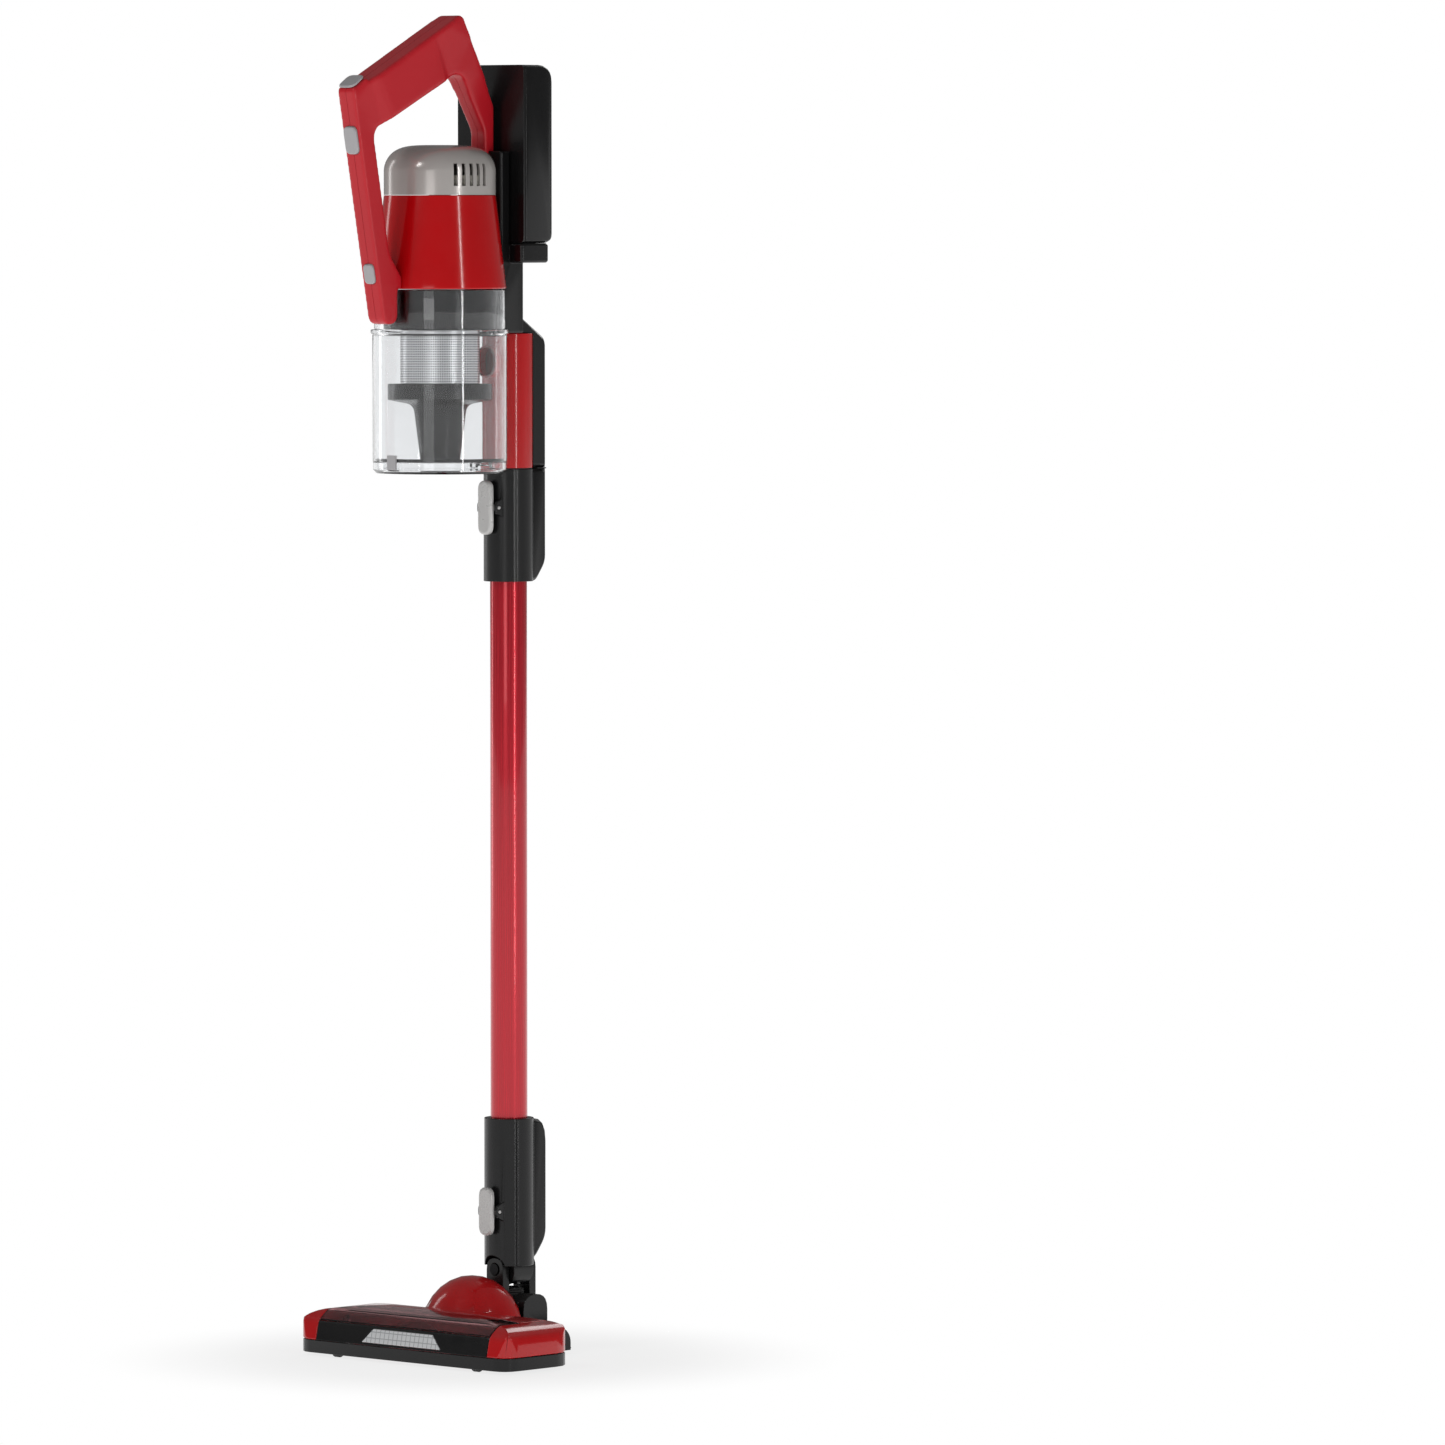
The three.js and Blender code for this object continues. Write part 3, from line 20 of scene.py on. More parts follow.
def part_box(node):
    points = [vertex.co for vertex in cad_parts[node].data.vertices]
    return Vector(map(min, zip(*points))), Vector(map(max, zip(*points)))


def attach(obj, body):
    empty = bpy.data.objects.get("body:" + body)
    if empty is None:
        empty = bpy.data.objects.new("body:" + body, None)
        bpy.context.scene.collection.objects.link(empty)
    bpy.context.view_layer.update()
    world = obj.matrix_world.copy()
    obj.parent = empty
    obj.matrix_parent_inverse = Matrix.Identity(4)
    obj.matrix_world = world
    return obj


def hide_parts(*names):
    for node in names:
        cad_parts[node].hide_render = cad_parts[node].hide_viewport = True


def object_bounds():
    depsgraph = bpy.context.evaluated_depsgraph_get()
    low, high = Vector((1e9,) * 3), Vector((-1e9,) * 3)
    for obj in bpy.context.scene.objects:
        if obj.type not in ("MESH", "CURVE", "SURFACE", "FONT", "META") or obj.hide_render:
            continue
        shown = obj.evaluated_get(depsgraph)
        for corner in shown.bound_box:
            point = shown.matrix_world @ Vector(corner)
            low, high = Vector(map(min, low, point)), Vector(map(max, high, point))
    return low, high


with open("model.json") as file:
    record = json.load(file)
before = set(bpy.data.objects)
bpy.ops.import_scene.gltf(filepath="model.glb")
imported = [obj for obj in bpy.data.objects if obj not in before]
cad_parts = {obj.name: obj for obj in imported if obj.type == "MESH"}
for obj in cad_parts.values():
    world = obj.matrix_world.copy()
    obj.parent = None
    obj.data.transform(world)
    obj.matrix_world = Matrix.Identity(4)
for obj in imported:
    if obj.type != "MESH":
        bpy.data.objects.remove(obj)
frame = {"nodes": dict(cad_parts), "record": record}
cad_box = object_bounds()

log = logging.getLogger("stick_vacuum")

Colour = tuple[float, float, float]
Profile = Sequence[tuple[float, float, float]]

MM = 0.001
FAR = 1.0  # reach of a cutter that goes right through a piece
NOISE_MIDDLE = (0.3, 0.7)  # range in which most values of a noise texture lie
DUST_COLOUR = (0.55, 0.53, 0.50)
FIBRE_ROUGHNESS = 0.95
DUST_SCALE = 60.0  # noise scale of the patches of dust
BROAD_SCALE = 14.0  # noise scale of the broad wear on plastic
FINE_SCALE = 160.0  # noise scale of the fine polish marks on plastic
WHITE = (1.0, 1.0, 1.0, 1.0)
SHARP_ANGLE = 40.0  # degrees above which an edge stays sharp


# ---------------------------------------------------------------- shader effects


class Effect(Enum):
    """The shader node groups that the finishes share."""

    SKIN = "moulded_skin"
    DUST = "settled_dust"
    LINES = "drawn_lines"
    FIBRES = "short_fibres"


class Nodes:
    """Adds and wires nodes in one node tree."""

    def __init__(self, tree: bpy.types.NodeTree) -> None:
        """Wrap a tree.

        Args:
            tree: The node tree to write to.
        """
        self.tree = tree

    def add(self, kind: str, **values: object) -> bpy.types.Node:
        """Add a node and set attributes on it.

        Args:
            kind: The node's type name.
            **values: Attributes to set, such as operation or data_type.

        Returns:
            The new node.
        """
        node = self.tree.nodes.new(kind)
        for name, value in values.items():
            setattr(node, name, value)
        return node

    def link(self, source: bpy.types.NodeSocket, target: bpy.types.NodeSocket) -> None:
        """Wire one socket to another.

        Args:
            source: The output socket.
            target: The input socket.
        """
        self.tree.links.new(source, target)

    def feed(self, socket: bpy.types.NodeSocket, value: object) -> None:
        """Wire a socket to a source, or set it.

        Args:
            socket: The input socket.
            value: A source socket, a colour or a number.
        """
        if isinstance(value, bpy.types.NodeSocket):
            self.link(value, socket)
        elif isinstance(value, tuple):
            socket.default_value = (*value, 1.0)
        else:
            socket.default_value = value

    def maths(self, operation: str, a: object, b: object = 0.0) -> bpy.types.NodeSocket:
        """Add a Math node.

        Args:
            operation: Blender's name of the operation.
            a: First socket or number.
            b: Second socket or number.

        Returns:
            The node's result.
        """
        node = self.add("ShaderNodeMath", operation=operation)
        for socket, value in zip(node.inputs, (a, b)):
            self.feed(socket, value)
        return node.outputs[0]

    def noise(self, where: object, scale: object, detail: float = 2.0) -> bpy.types.NodeSocket:
        """Add a noise texture.

        Args:
            where: The vector socket that it is read at.
            scale: Its scale, a number or a socket.
            detail: How many finer layers it has.

        Returns:
            The noise value.
        """
        node = self.add("ShaderNodeTexNoise")
        self.link(where, node.inputs["Vector"])
        node.inputs["Detail"].default_value = detail
        self.feed(node.inputs["Scale"], scale)
        return node.outputs["Fac"]

    def spread(self, value: object, low: object, high: object) -> bpy.types.NodeSocket:
        """Stretch the middle of a noise value over a range.

        Args:
            value: The noise socket.
            low: What 0.3 becomes, a number or a socket.
            high: What 0.7 becomes, a number or a socket.

        Returns:
            The stretched value.
        """
        node = self.add("ShaderNodeMapRange")
        self.link(value, node.inputs["Value"])
        node.inputs["From Min"].default_value, node.inputs["From Max"].default_value = NOISE_MIDDLE
        self.feed(node.inputs["To Min"], low)
        self.feed(node.inputs["To Max"], high)
        return node.outputs["Result"]

    def shade(self, colour: bpy.types.NodeSocket, tone: bpy.types.NodeSocket) -> bpy.types.NodeSocket:
        """Multiply a colour by a number.

        Args:
            colour: The colour socket.
            tone: The number socket.

        Returns:
            The shaded colour.
        """
        grey = self.add("ShaderNodeCombineColor")
        for socket in grey.inputs[:3]:
            self.link(tone, socket)
        return self.blend(1.0, colour, grey.outputs[0], "MULTIPLY")

    def mix(self, factor: bpy.types.NodeSocket, *shaders: bpy.types.NodeSocket) -> bpy.types.NodeSocket:
        """Mix two shaders.

        Args:
            factor: How much of the second.
            *shaders: The two shaders.

        Returns:
            The mixed shader.
        """
        node = self.add("ShaderNodeMixShader")
        for socket, source in zip(node.inputs, (factor, *shaders)):
            self.link(source, socket)
        return node.outputs[0]

    def place(self) -> bpy.types.NodeSocket:
        """Give the position on the piece in its own frame, which moves with it."""
        return self.add("ShaderNodeTexCoord").outputs["Object"]

    def split(self, vector: bpy.types.NodeSocket) -> bpy.types.NodeOutputs:
        """Split a vector.

        Args:
            vector: The vector socket.

        Returns:
            The outputs X, Y and Z.
        """
        node = self.add("ShaderNodeSeparateXYZ")
        self.link(vector, node.inputs[0])
        return node.outputs

    def blend(self, factor: object, a: object, b: object, mode: str = "MIX") -> bpy.types.NodeSocket:
        """Mix two colours.

        Args:
            factor: How much of the second colour, a number or a socket.
            a: First colour, a tuple or a socket.
            b: Second colour, a tuple or a socket.
            mode: Blender's name of the blend type.

        Returns:
            The mixed colour.
        """
        node = self.add("ShaderNodeMix", data_type="RGBA", blend_type=mode)
        for index, value in ((0, factor), (6, a), (7, b)):
            self.feed(node.inputs[index], value)
        return node.outputs[2]


class EffectLibrary:
    """Builds each shared node group once and keeps it."""

    def __init__(self) -> None:
        """Start with no group built."""
        self.built: dict[Effect, bpy.types.NodeTree] = {}

    def get(self, effect: Effect) -> bpy.types.NodeTree:
        """Give the node group of an effect, building it the first time.

        Args:
            effect: Which effect.

        Returns:
            The node group.
        """
        if effect not in self.built:
            maker = {
                Effect.SKIN: self.moulded_skin,
                Effect.DUST: self.settled_dust,
                Effect.LINES: self.drawn_lines,
                Effect.FIBRES: self.short_fibres,
            }[effect]
            self.built[effect] = maker()
        return self.built[effect]

    @staticmethod
    def group(effect: Effect, inputs: dict[str, object], outputs: dict[str, str]) -> tuple:
        """Make an empty node group.

        Args:
            effect: The effect that gives its name.
            inputs: Each input's name and default, a number or a colour.
            outputs: Each output's name and kind of socket, Color or Float.

        Returns:
            The tree, its Nodes helper, the input node and the output node.
        """
        tree = bpy.data.node_groups.new(effect.value, "ShaderNodeTree")
        for name, value in inputs.items():
            kind = "NodeSocketColor" if isinstance(value, tuple) else "NodeSocketFloat"
            socket = tree.interface.new_socket(name, in_out="INPUT", socket_type=kind)
            socket.default_value = (*value, 1.0) if isinstance(value, tuple) else value
        for name, kind in outputs.items():
            tree.interface.new_socket(name, in_out="OUTPUT", socket_type=f"NodeSocket{kind}")
        nodes = Nodes(tree)
        return tree, nodes, nodes.add("NodeGroupInput"), nodes.add("NodeGroupOutput")

    def moulded_skin(self) -> bpy.types.NodeTree:
        """Build the fine spark-eroded grain and uneven gloss of moulded plastic.

        Returns:
            The node group.
        """
        tree, n, given, made = self.group(
            Effect.SKIN,
            {"Colour": (0.5, 0.5, 0.5), "Roughness": 0.3, "Grain": 900.0, "Uneven": 0.1},
            {"Colour": "Color", "Roughness": "Float", "Height": "Float"},
        )
        where = n.place()
        grain = n.noise(where, given.outputs["Grain"], 3.0)
        broad = n.noise(where, BROAD_SCALE, 3.0)
        fine = n.noise(where, FINE_SCALE, 4.0)
        low = n.maths("SUBTRACT", 1.0, given.outputs["Uneven"])
        tone = n.spread(broad, low, 1.0)
        colour = n.shade(given.outputs["Colour"], tone)
        polish = n.spread(fine, -0.012, 0.015)
        worn = n.spread(broad, -0.015, 0.02)
        rough = n.maths("ADD", given.outputs["Roughness"], n.maths("ADD", polish, worn))
        n.link(colour, made.inputs["Colour"])
        n.link(n.maths("MAXIMUM", rough, 0.03), made.inputs["Roughness"])
        n.link(grain, made.inputs["Height"])
        return tree

    def settled_dust(self) -> bpy.types.NodeTree:
        """Build the thin dust that settles on faces that look up.

        Returns:
            The node group.
        """
        tree, n, given, made = self.group(
            Effect.DUST,
            {"Colour": (0.5, 0.5, 0.5), "Roughness": 0.3, "Amount": 0.1},
            {"Colour": "Color", "Roughness": "Float"},
        )
        where = n.place()
        normal = n.add("ShaderNodeNewGeometry").outputs["Normal"]
        facing = n.maths("MAXIMUM", n.split(normal)["Z"], 0.0)
        patchy = n.spread(n.noise(where, DUST_SCALE, 6.0), 0.15, 1.0)
        mask = n.maths("MULTIPLY", n.maths("MULTIPLY", facing, patchy), given.outputs["Amount"])
        n.link(n.blend(mask, given.outputs["Colour"], DUST_COLOUR), made.inputs["Colour"])
        rough = n.maths("ADD", given.outputs["Roughness"], n.maths("MULTIPLY", mask, 0.5))
        n.link(n.maths("MINIMUM", rough, 1.0), made.inputs["Roughness"])
        return tree

    def drawn_lines(self) -> bpy.types.NodeTree:
        """Build the fine lines left along a drawn or brushed metal part.

        Returns:
            The node group.
        """
        tree, n, given, made = self.group(
            Effect.LINES,
            {"Colour": (0.5, 0.5, 0.5), "Roughness": 0.3, "Across": 1500.0, "Along": 12.0},
            {"Colour": "Color", "Roughness": "Float", "Height": "Float"},
        )
        where = n.place()
        stretch = n.add("ShaderNodeVectorMath", operation="MULTIPLY")
        scale = n.add("ShaderNodeCombineXYZ")
        n.link(given.outputs["Across"], scale.inputs["X"])
        n.link(given.outputs["Across"], scale.inputs["Y"])
        n.link(given.outputs["Along"], scale.inputs["Z"])
        n.link(where, stretch.inputs[0])
        n.link(scale.outputs[0], stretch.inputs[1])
        lines = n.noise(stretch.outputs[0], 1.0, 3.0)
        tone = n.spread(lines, 0.86, 1.06)
        polish = n.spread(lines, -0.05, 0.07)
        n.link(n.shade(given.outputs["Colour"], tone), made.inputs["Colour"])
        n.link(n.maths("ADD", given.outputs["Roughness"], polish), made.inputs["Roughness"])
        n.link(lines, made.inputs["Height"])
        return tree

    def short_fibres(self) -> bpy.types.NodeTree:
        """Build a mat of short fibres or an open foam.

        Returns:
            The node group.
        """
        tree, n, given, made = self.group(
            Effect.FIBRES,
            {"Colour": (0.5, 0.5, 0.5), "Deep": (0.1, 0.1, 0.1), "Scale": 700.0},
            {"Colour": "Color", "Height": "Float"},
        )
        where = n.place()
        cells = n.add("ShaderNodeTexVoronoi", feature="F1")
        n.link(where, cells.inputs["Vector"])
        n.link(given.outputs["Scale"], cells.inputs["Scale"])
        tuft = n.noise(where, given.outputs["Scale"], 6.0)
        height = n.maths("MULTIPLY", cells.outputs["Distance"], tuft)
        colour = n.blend(n.spread(tuft, 0.0, 1.0), given.outputs["Deep"], given.outputs["Colour"])
        n.link(colour, made.inputs["Colour"])
        n.link(height, made.inputs["Height"])
        return tree


EFFECTS = EffectLibrary()


# ---------------------------------------------------------------- finishes


@dataclass(frozen=True)
class Finish:
    """A finish: a material with a Principled shader that its kind fills in."""

    name: str

    def build(self) -> bpy.types.Material:
        """Make the material.

        Returns:
            The material.
        """
        material = bpy.data.materials.new(self.name)
        material.use_nodes = True
        self.fill(Nodes(material.node_tree), material.node_tree.nodes["Principled BSDF"])
        return material

    def fill(self, n: Nodes, shader: bpy.types.Node) -> None:
        """Fill in the shader.

        Args:
            n: The material's nodes.
            shader: Its Principled shader.
        """
        raise NotImplementedError


def place_effect(n: Nodes, effect: Effect, **values: object) -> bpy.types.Node:
    """Place an effect in a material.

    Args:
        n: The material's nodes.
        effect: Which effect.
        **values: Each input's number, colour or socket, with _ for a space in its name.

    Returns:
        The group node.
    """
    node = n.add("ShaderNodeGroup", node_tree=EFFECTS.get(effect))
    for name, value in values.items():
        n.feed(node.inputs[name.replace("_", " ")], value)
    return node


def wire(n: Nodes, effect: bpy.types.Node, shader: bpy.types.Node) -> None:
    """Feed an effect's colour and roughness to the shader.

    Args:
        n: The material's nodes.
        effect: The placed effect.
        shader: The Principled shader.
    """
    n.link(effect.outputs["Colour"], shader.inputs["Base Color"])
    n.link(effect.outputs["Roughness"], shader.inputs["Roughness"])


def raise_bump(n: Nodes, shader: bpy.types.Node, height: bpy.types.NodeSocket, depth: float) -> None:
    """Feed a height to the shader's normal.

    Args:
        n: The material's nodes.
        shader: The Principled shader.
        height: The height socket.
        depth: How deep it is, in metres.
    """
    bump = n.add("ShaderNodeBump")
    bump.inputs["Distance"].default_value = depth
    n.link(height, bump.inputs["Height"])
    n.link(bump.outputs["Normal"], shader.inputs["Normal"])


@dataclass(frozen=True)
class Plastic(Finish):
    """Opaque moulded plastic, from piano gloss to soft matte."""

    colour: Colour
    roughness: float
    uneven: float = 0.08
    grain: float = 900.0
    depth: float = 0.00002
    coat: float = 0.0
    dust: float = 0.04
    metallic: float = 0.0
    shine: float = 0.36

    def fill(self, n: Nodes, shader: bpy.types.Node) -> None:
        """Fill in the grain, the uneven gloss and the settled dust.

        Args:
            n: The material's nodes.
            shader: Its Principled shader.
        """
        skin = place_effect(
            n,
            Effect.SKIN,
            Colour=self.colour,
            Roughness=self.roughness,
            Grain=self.grain,
            Uneven=self.uneven,
        )
        film = place_effect(
            n,
            Effect.DUST,
            Colour=skin.outputs["Colour"],
            Roughness=skin.outputs["Roughness"],
            Amount=self.dust,
        )
        wire(n, film, shader)
        shader.inputs["Metallic"].default_value = self.metallic
        shader.inputs["Coat Weight"].default_value = self.coat
        shader.inputs["Coat Roughness"].default_value = 0.06
        shader.inputs["Specular IOR Level"].default_value = self.shine
        raise_bump(n, shader, skin.outputs["Height"], self.depth)


@dataclass(frozen=True)
class ClearPlastic(Finish):
    """See-through moulded plastic with a slight tint and fine handling marks."""

    colour: Colour
    roughness: float
    uneven: float = 0.05
    ior: float = 1.45

    def fill(self, n: Nodes, shader: bpy.types.Node) -> None:
        """Fill in the tint and the handling marks of the clear wall.

        Args:
            n: The material's nodes.
            shader: Its Principled shader.
        """
        skin = place_effect(
            n,
            Effect.SKIN,
            Colour=self.colour,
            Roughness=self.roughness,
            Grain=300.0,
            Uneven=self.uneven,
        )
        wire(n, skin, shader)
        shader.inputs["Transmission Weight"].default_value = 1.0
        shader.inputs["IOR"].default_value = self.ior
        raise_bump(n, shader, skin.outputs["Height"], 0.000004)


@dataclass(frozen=True)
class Metal(Finish):
    """Bare or lacquered metal with fine lines along it."""

    colour: Colour
    roughness: float
    metallic: float = 1.0
    coat: float = 0.0
    across: float = 1500.0
    along: float = 12.0
    depth: float = 0.00001

    def fill(self, n: Nodes, shader: bpy.types.Node) -> None:
        """Fill in the drawn lines and the lacquer.

        Args:
            n: The material's nodes.
            shader: Its Principled shader.
        """
        lines = place_effect(
            n,
            Effect.LINES,
            Colour=self.colour,
            Roughness=self.roughness,
            Across=self.across,
            Along=self.along,
        )
        wire(n, lines, shader)
        shader.inputs["Metallic"].default_value = self.metallic
        shader.inputs["Coat Weight"].default_value = self.coat
        shader.inputs["Coat Roughness"].default_value = 0.05
        raise_bump(n, shader, lines.outputs["Height"], self.depth)


@dataclass(frozen=True)
class Fibre(Finish):
    """Felt, bristle or foam."""

    colour: Colour
    deep: Colour
    scale: float
    depth: float

    def fill(self, n: Nodes, shader: bpy.types.Node) -> None:
        """Fill in the mat of fibres.

        Args:
            n: The material's nodes.
            shader: Its Principled shader.
        """
        mat = place_effect(n, Effect.FIBRES, Colour=self.colour, Deep=self.deep, Scale=self.scale)
        n.link(mat.outputs["Colour"], shader.inputs["Base Color"])
        shader.inputs["Roughness"].default_value = FIBRE_ROUGHNESS
        shader.inputs["Sheen Weight"].default_value = 0.25
        raise_bump(n, shader, mat.outputs["Height"], self.depth)


@dataclass(frozen=True)
class WireMesh(Finish):
    """Fine etched steel mesh, holes in a grid round an upright axis."""

    centre: tuple[float, float]
    colour: Colour = (0.62, 0.62, 0.63)
    deep: Colour = (0.05, 0.05, 0.055)
    holes_round: int = 110
    pitch: float = 0.0021
    wall: float = 0.55

    def fill(self, n: Nodes, shader: bpy.types.Node) -> None:
        """Fill in the grid of holes.

        Args:
            n: The material's nodes.
            shader: Its Principled shader.
        """
        spot = n.split(n.place())
        x = n.maths("SUBTRACT", spot["X"], self.centre[0])
        y = n.maths("SUBTRACT", spot["Y"], self.centre[1])
        turn = n.maths("MULTIPLY", n.maths("ARCTAN2", y, x), self.holes_round)
        rise = n.maths("MULTIPLY", spot["Z"], 2 * math.pi / self.pitch)
        dots = n.maths("ADD", n.maths("SINE", turn), n.maths("SINE", rise))
        hole = n.maths("GREATER_THAN", dots, self.wall)
        n.link(n.blend(hole, self.colour, self.deep), shader.inputs["Base Color"])
        n.link(n.maths("ADD", n.maths("MULTIPLY", hole, 0.4), 0.3), shader.inputs["Roughness"])
        n.link(n.maths("SUBTRACT", 1.0, hole), shader.inputs["Metallic"])
        raise_bump(n, shader, n.maths("SUBTRACT", 1.0, hole), 0.0002)


@dataclass(frozen=True)
class LampLens(Finish):
    """Milky lens over a row of lamps, with a fine cell pattern moulded behind it."""

    pitch: float
    colour: Colour
    gap: Colour
    line: float = 0.22

    def fill(self, n: Nodes, shader: bpy.types.Node) -> None:
        """Fill in the cells over the lamps.

        Args:
            n: The material's nodes.
            shader: Its Principled shader.
        """
        spot = n.split(n.place())
        turns = [n.maths("MULTIPLY", spot[way], math.pi / self.pitch) for way in ("X", "Z")]
        waves = [n.maths("SINE", turn) for turn in turns]
        edge = n.maths("MINIMUM", *(n.maths("ABSOLUTE", wave) for wave in waves))
        line = n.maths("LESS_THAN", edge, self.line)
        skin = place_effect(n, Effect.SKIN, Colour=self.colour, Roughness=0.16, Grain=400.0, Uneven=0.05)
        n.link(n.blend(line, skin.outputs["Colour"], self.gap), shader.inputs["Base Color"])
        n.link(skin.outputs["Roughness"], shader.inputs["Roughness"])
        shader.inputs["Coat Weight"].default_value = 0.6
        shader.inputs["Coat Roughness"].default_value = 0.05
        raise_bump(n, shader, edge, 0.0001)


@dataclass(frozen=True)
class FloorFinish(Finish):
    """Pale floor that takes a soft shadow near the object and turns white away from it."""

    centre: Vector
    colour: Colour = (0.88, 0.88, 0.88)
    pool: tuple[float, float] = (0.14, 0.34)
    glow: float = 0.80

    def fill(self, n: Nodes, shader: bpy.types.Node) -> None:
        """Fill in the floor's surface and its glow.

        Args:
            n: The material's nodes.
            shader: Its Principled shader.
        """
        skin = place_effect(n, Effect.SKIN, Colour=self.colour, Roughness=0.6, Grain=200.0, Uneven=0.01)
        wire(n, skin, shader)
        spot = n.split(n.place())
        x = n.maths("SUBTRACT", spot["X"], self.centre.x)
        y = n.maths("SUBTRACT", spot["Y"], self.centre.y)
        away = n.maths("SQRT", n.maths("ADD", n.maths("MULTIPLY", x, x), n.maths("MULTIPLY", y, y)))
        fade = n.add("ShaderNodeMapRange", interpolation_type="SMOOTHSTEP")
        n.link(away, fade.inputs["Value"])
        fade.inputs["From Min"].default_value, fade.inputs["From Max"].default_value = self.pool
        fade.inputs["To Min"].default_value = self.glow
        light = n.add("ShaderNodeEmission")
        light.inputs["Color"].default_value = WHITE
        unlit = n.mix(fade.outputs["Result"], shader.outputs[0], light.outputs[0])
        n.link(unlit, n.tree.nodes["Material Output"].inputs["Surface"])


PLASTICS = {
    "red_gloss": Plastic(
        "red_gloss_shell", (0.56, 0.0005, 0.003), 0.15, coat=0.35, depth=0.000006, uneven=0.10
    ),
    "red_satin": Plastic("red_satin_grip", (0.56, 0.010, 0.020), 0.30, uneven=0.06),
    "black_plastic": Plastic("black_satin_shell", (0.0060, 0.0060, 0.0064), 0.24, depth=0.00001),
    "grey_plastic": Plastic("grey_satin_key", (0.44, 0.43, 0.44), 0.33),
    "silver_plastic": Plastic(
        "silver_lacquered_dome", (0.50, 0.47, 0.45), 0.20, metallic=0.25, coat=0.3
    ),
    "soft_grip": Plastic("soft_grip_rubber", (0.045, 0.03, 0.042), 0.62, grain=500.0, depth=0.00008),
    "rubber": Plastic(
        "black_rubber", (0.018, 0.018, 0.019), 0.7, grain=600.0, depth=0.00006, dust=0.12
    ),
    "battery_metal": Plastic("battery_cell_wrap", (0.08, 0.20, 0.28), 0.3),
    "circuit_board": Plastic(
        "circuit_board_lacquer", (0.02, 0.13, 0.05), 0.35, grain=350.0, depth=0.0001
    ),
    "silver_key": Plastic("silver_key_plastic", (0.60, 0.59, 0.58), 0.28, coat=0.3, metallic=0.2),
}
METALS = {
    "red_metal": Metal("red_lacquered_tube", (0.56, 0.010, 0.024), 0.24, metallic=0.5, coat=0.5),
    "steel": Metal("brushed_steel", (0.55, 0.56, 0.57), 0.28),
    "motor_metal": Metal("motor_can_metal", (0.42, 0.42, 0.43), 0.38, across=500.0),
    "motor_steel": Metal("zinc_plated_steel", (0.48, 0.49, 0.50), 0.36, across=700.0),
    "dark_pin": Metal("blackened_steel_pin", (0.02, 0.02, 0.021), 0.35),
}
CLEARS = {
    "clear_plastic": ClearPlastic("clear_cup_plastic", (0.90, 0.91, 0.92), 0.03),
    "smoke_window": ClearPlastic("smoke_window_plastic", (0.44, 0.20, 0.21), 0.05),
    "lit_lens": LampLens("milky_lamp_lens", 0.0052, (0.72, 0.73, 0.74), (0.40, 0.41, 0.42)),
}
FIBRES = {
    "bristle": Fibre("nylon_bristle", (0.42, 0.03, 0.05), (0.12, 0.008, 0.014), 900.0, 0.0006),
    "felt": Fibre("dense_felt", (0.09, 0.09, 0.095), (0.02, 0.02, 0.022), 1200.0, 0.0003),
    "foam": Fibre("filter_foam", (0.72, 0.69, 0.62), (0.40, 0.37, 0.32), 500.0, 0.0004),
}


def middle(node: str) -> Vector:
    """Give the middle of a CAD node's box.

    Args:
        node: The node's name.

    Returns:
        The middle.
    """
    low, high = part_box(node)
    return (low + high) / 2


class Finishes:
    """Every finish of the vacuum cleaner, built once and found by slot or by look."""

    def __init__(self) -> None:
        """Build each material."""
        centre = middle("mesh_filter")
        mesh = {"wire_mesh": WireMesh("etched_steel_mesh", (centre.x, centre.y))}
        rows = PLASTICS | METALS | CLEARS | FIBRES | mesh
        self.made = {look: finish.build() for look, finish in rows.items()}

    def __getitem__(self, look: str) -> bpy.types.Material:
        """Give a material.

        Args:
            look: Its slot or look.

        Returns:
            The material.
        """
        return self.made[look]


# ---------------------------------------------------------------- mesh making


def add_object(name: str, mesh: bpy.types.Mesh) -> bpy.types.Object:
    """Link a mesh to the scene as a new object.

    Args:
        name: The object's name.
        mesh: Its mesh.

    Returns:
        The object.
    """
    obj = bpy.data.objects.new(name, mesh)
    bpy.context.scene.collection.objects.link(obj)
    return obj


def rounded_path(corners: Profile, steps: int = 5) -> list[tuple[float, float]]:
    """Round the corners of a closed outline.

    Args:
        corners: Corners as (u, v, radius).
        steps: Segments in each rounded corner.

    Returns:
        The outline's points.
    """
    points: list[tuple[float, float]] = []
    count = len(corners)
    for i, (u, v, radius) in enumerate(corners):
        here = Vector((u, v))
        before = Vector(corners[i - 1][:2]) - here
        after = Vector(corners[(i + 1) % count][:2]) - here
        if radius <= 0 or before.length < 1e-9 or after.length < 1e-9:
            points.append((u, v))
            continue
        angle = before.angle(after)
        if angle > math.radians(179):
            points.append((u, v))
            continue
        reach = min(radius / math.tan(angle / 2), 0.49 * before.length, 0.49 * after.length)
        radius = reach * math.tan(angle / 2)
        inward = (before.normalized() + after.normalized()).normalized()
        centre = here + inward * (radius / math.sin(angle / 2))
        start = here + before.normalized() * reach - centre
        end = here + after.normalized() * reach - centre
        sweep = start.angle_signed(end)
        for k in range(steps + 1):
            spot = centre + Matrix.Rotation(-sweep * k / steps, 2) @ start
            points.append((spot.x, spot.y))
    return points


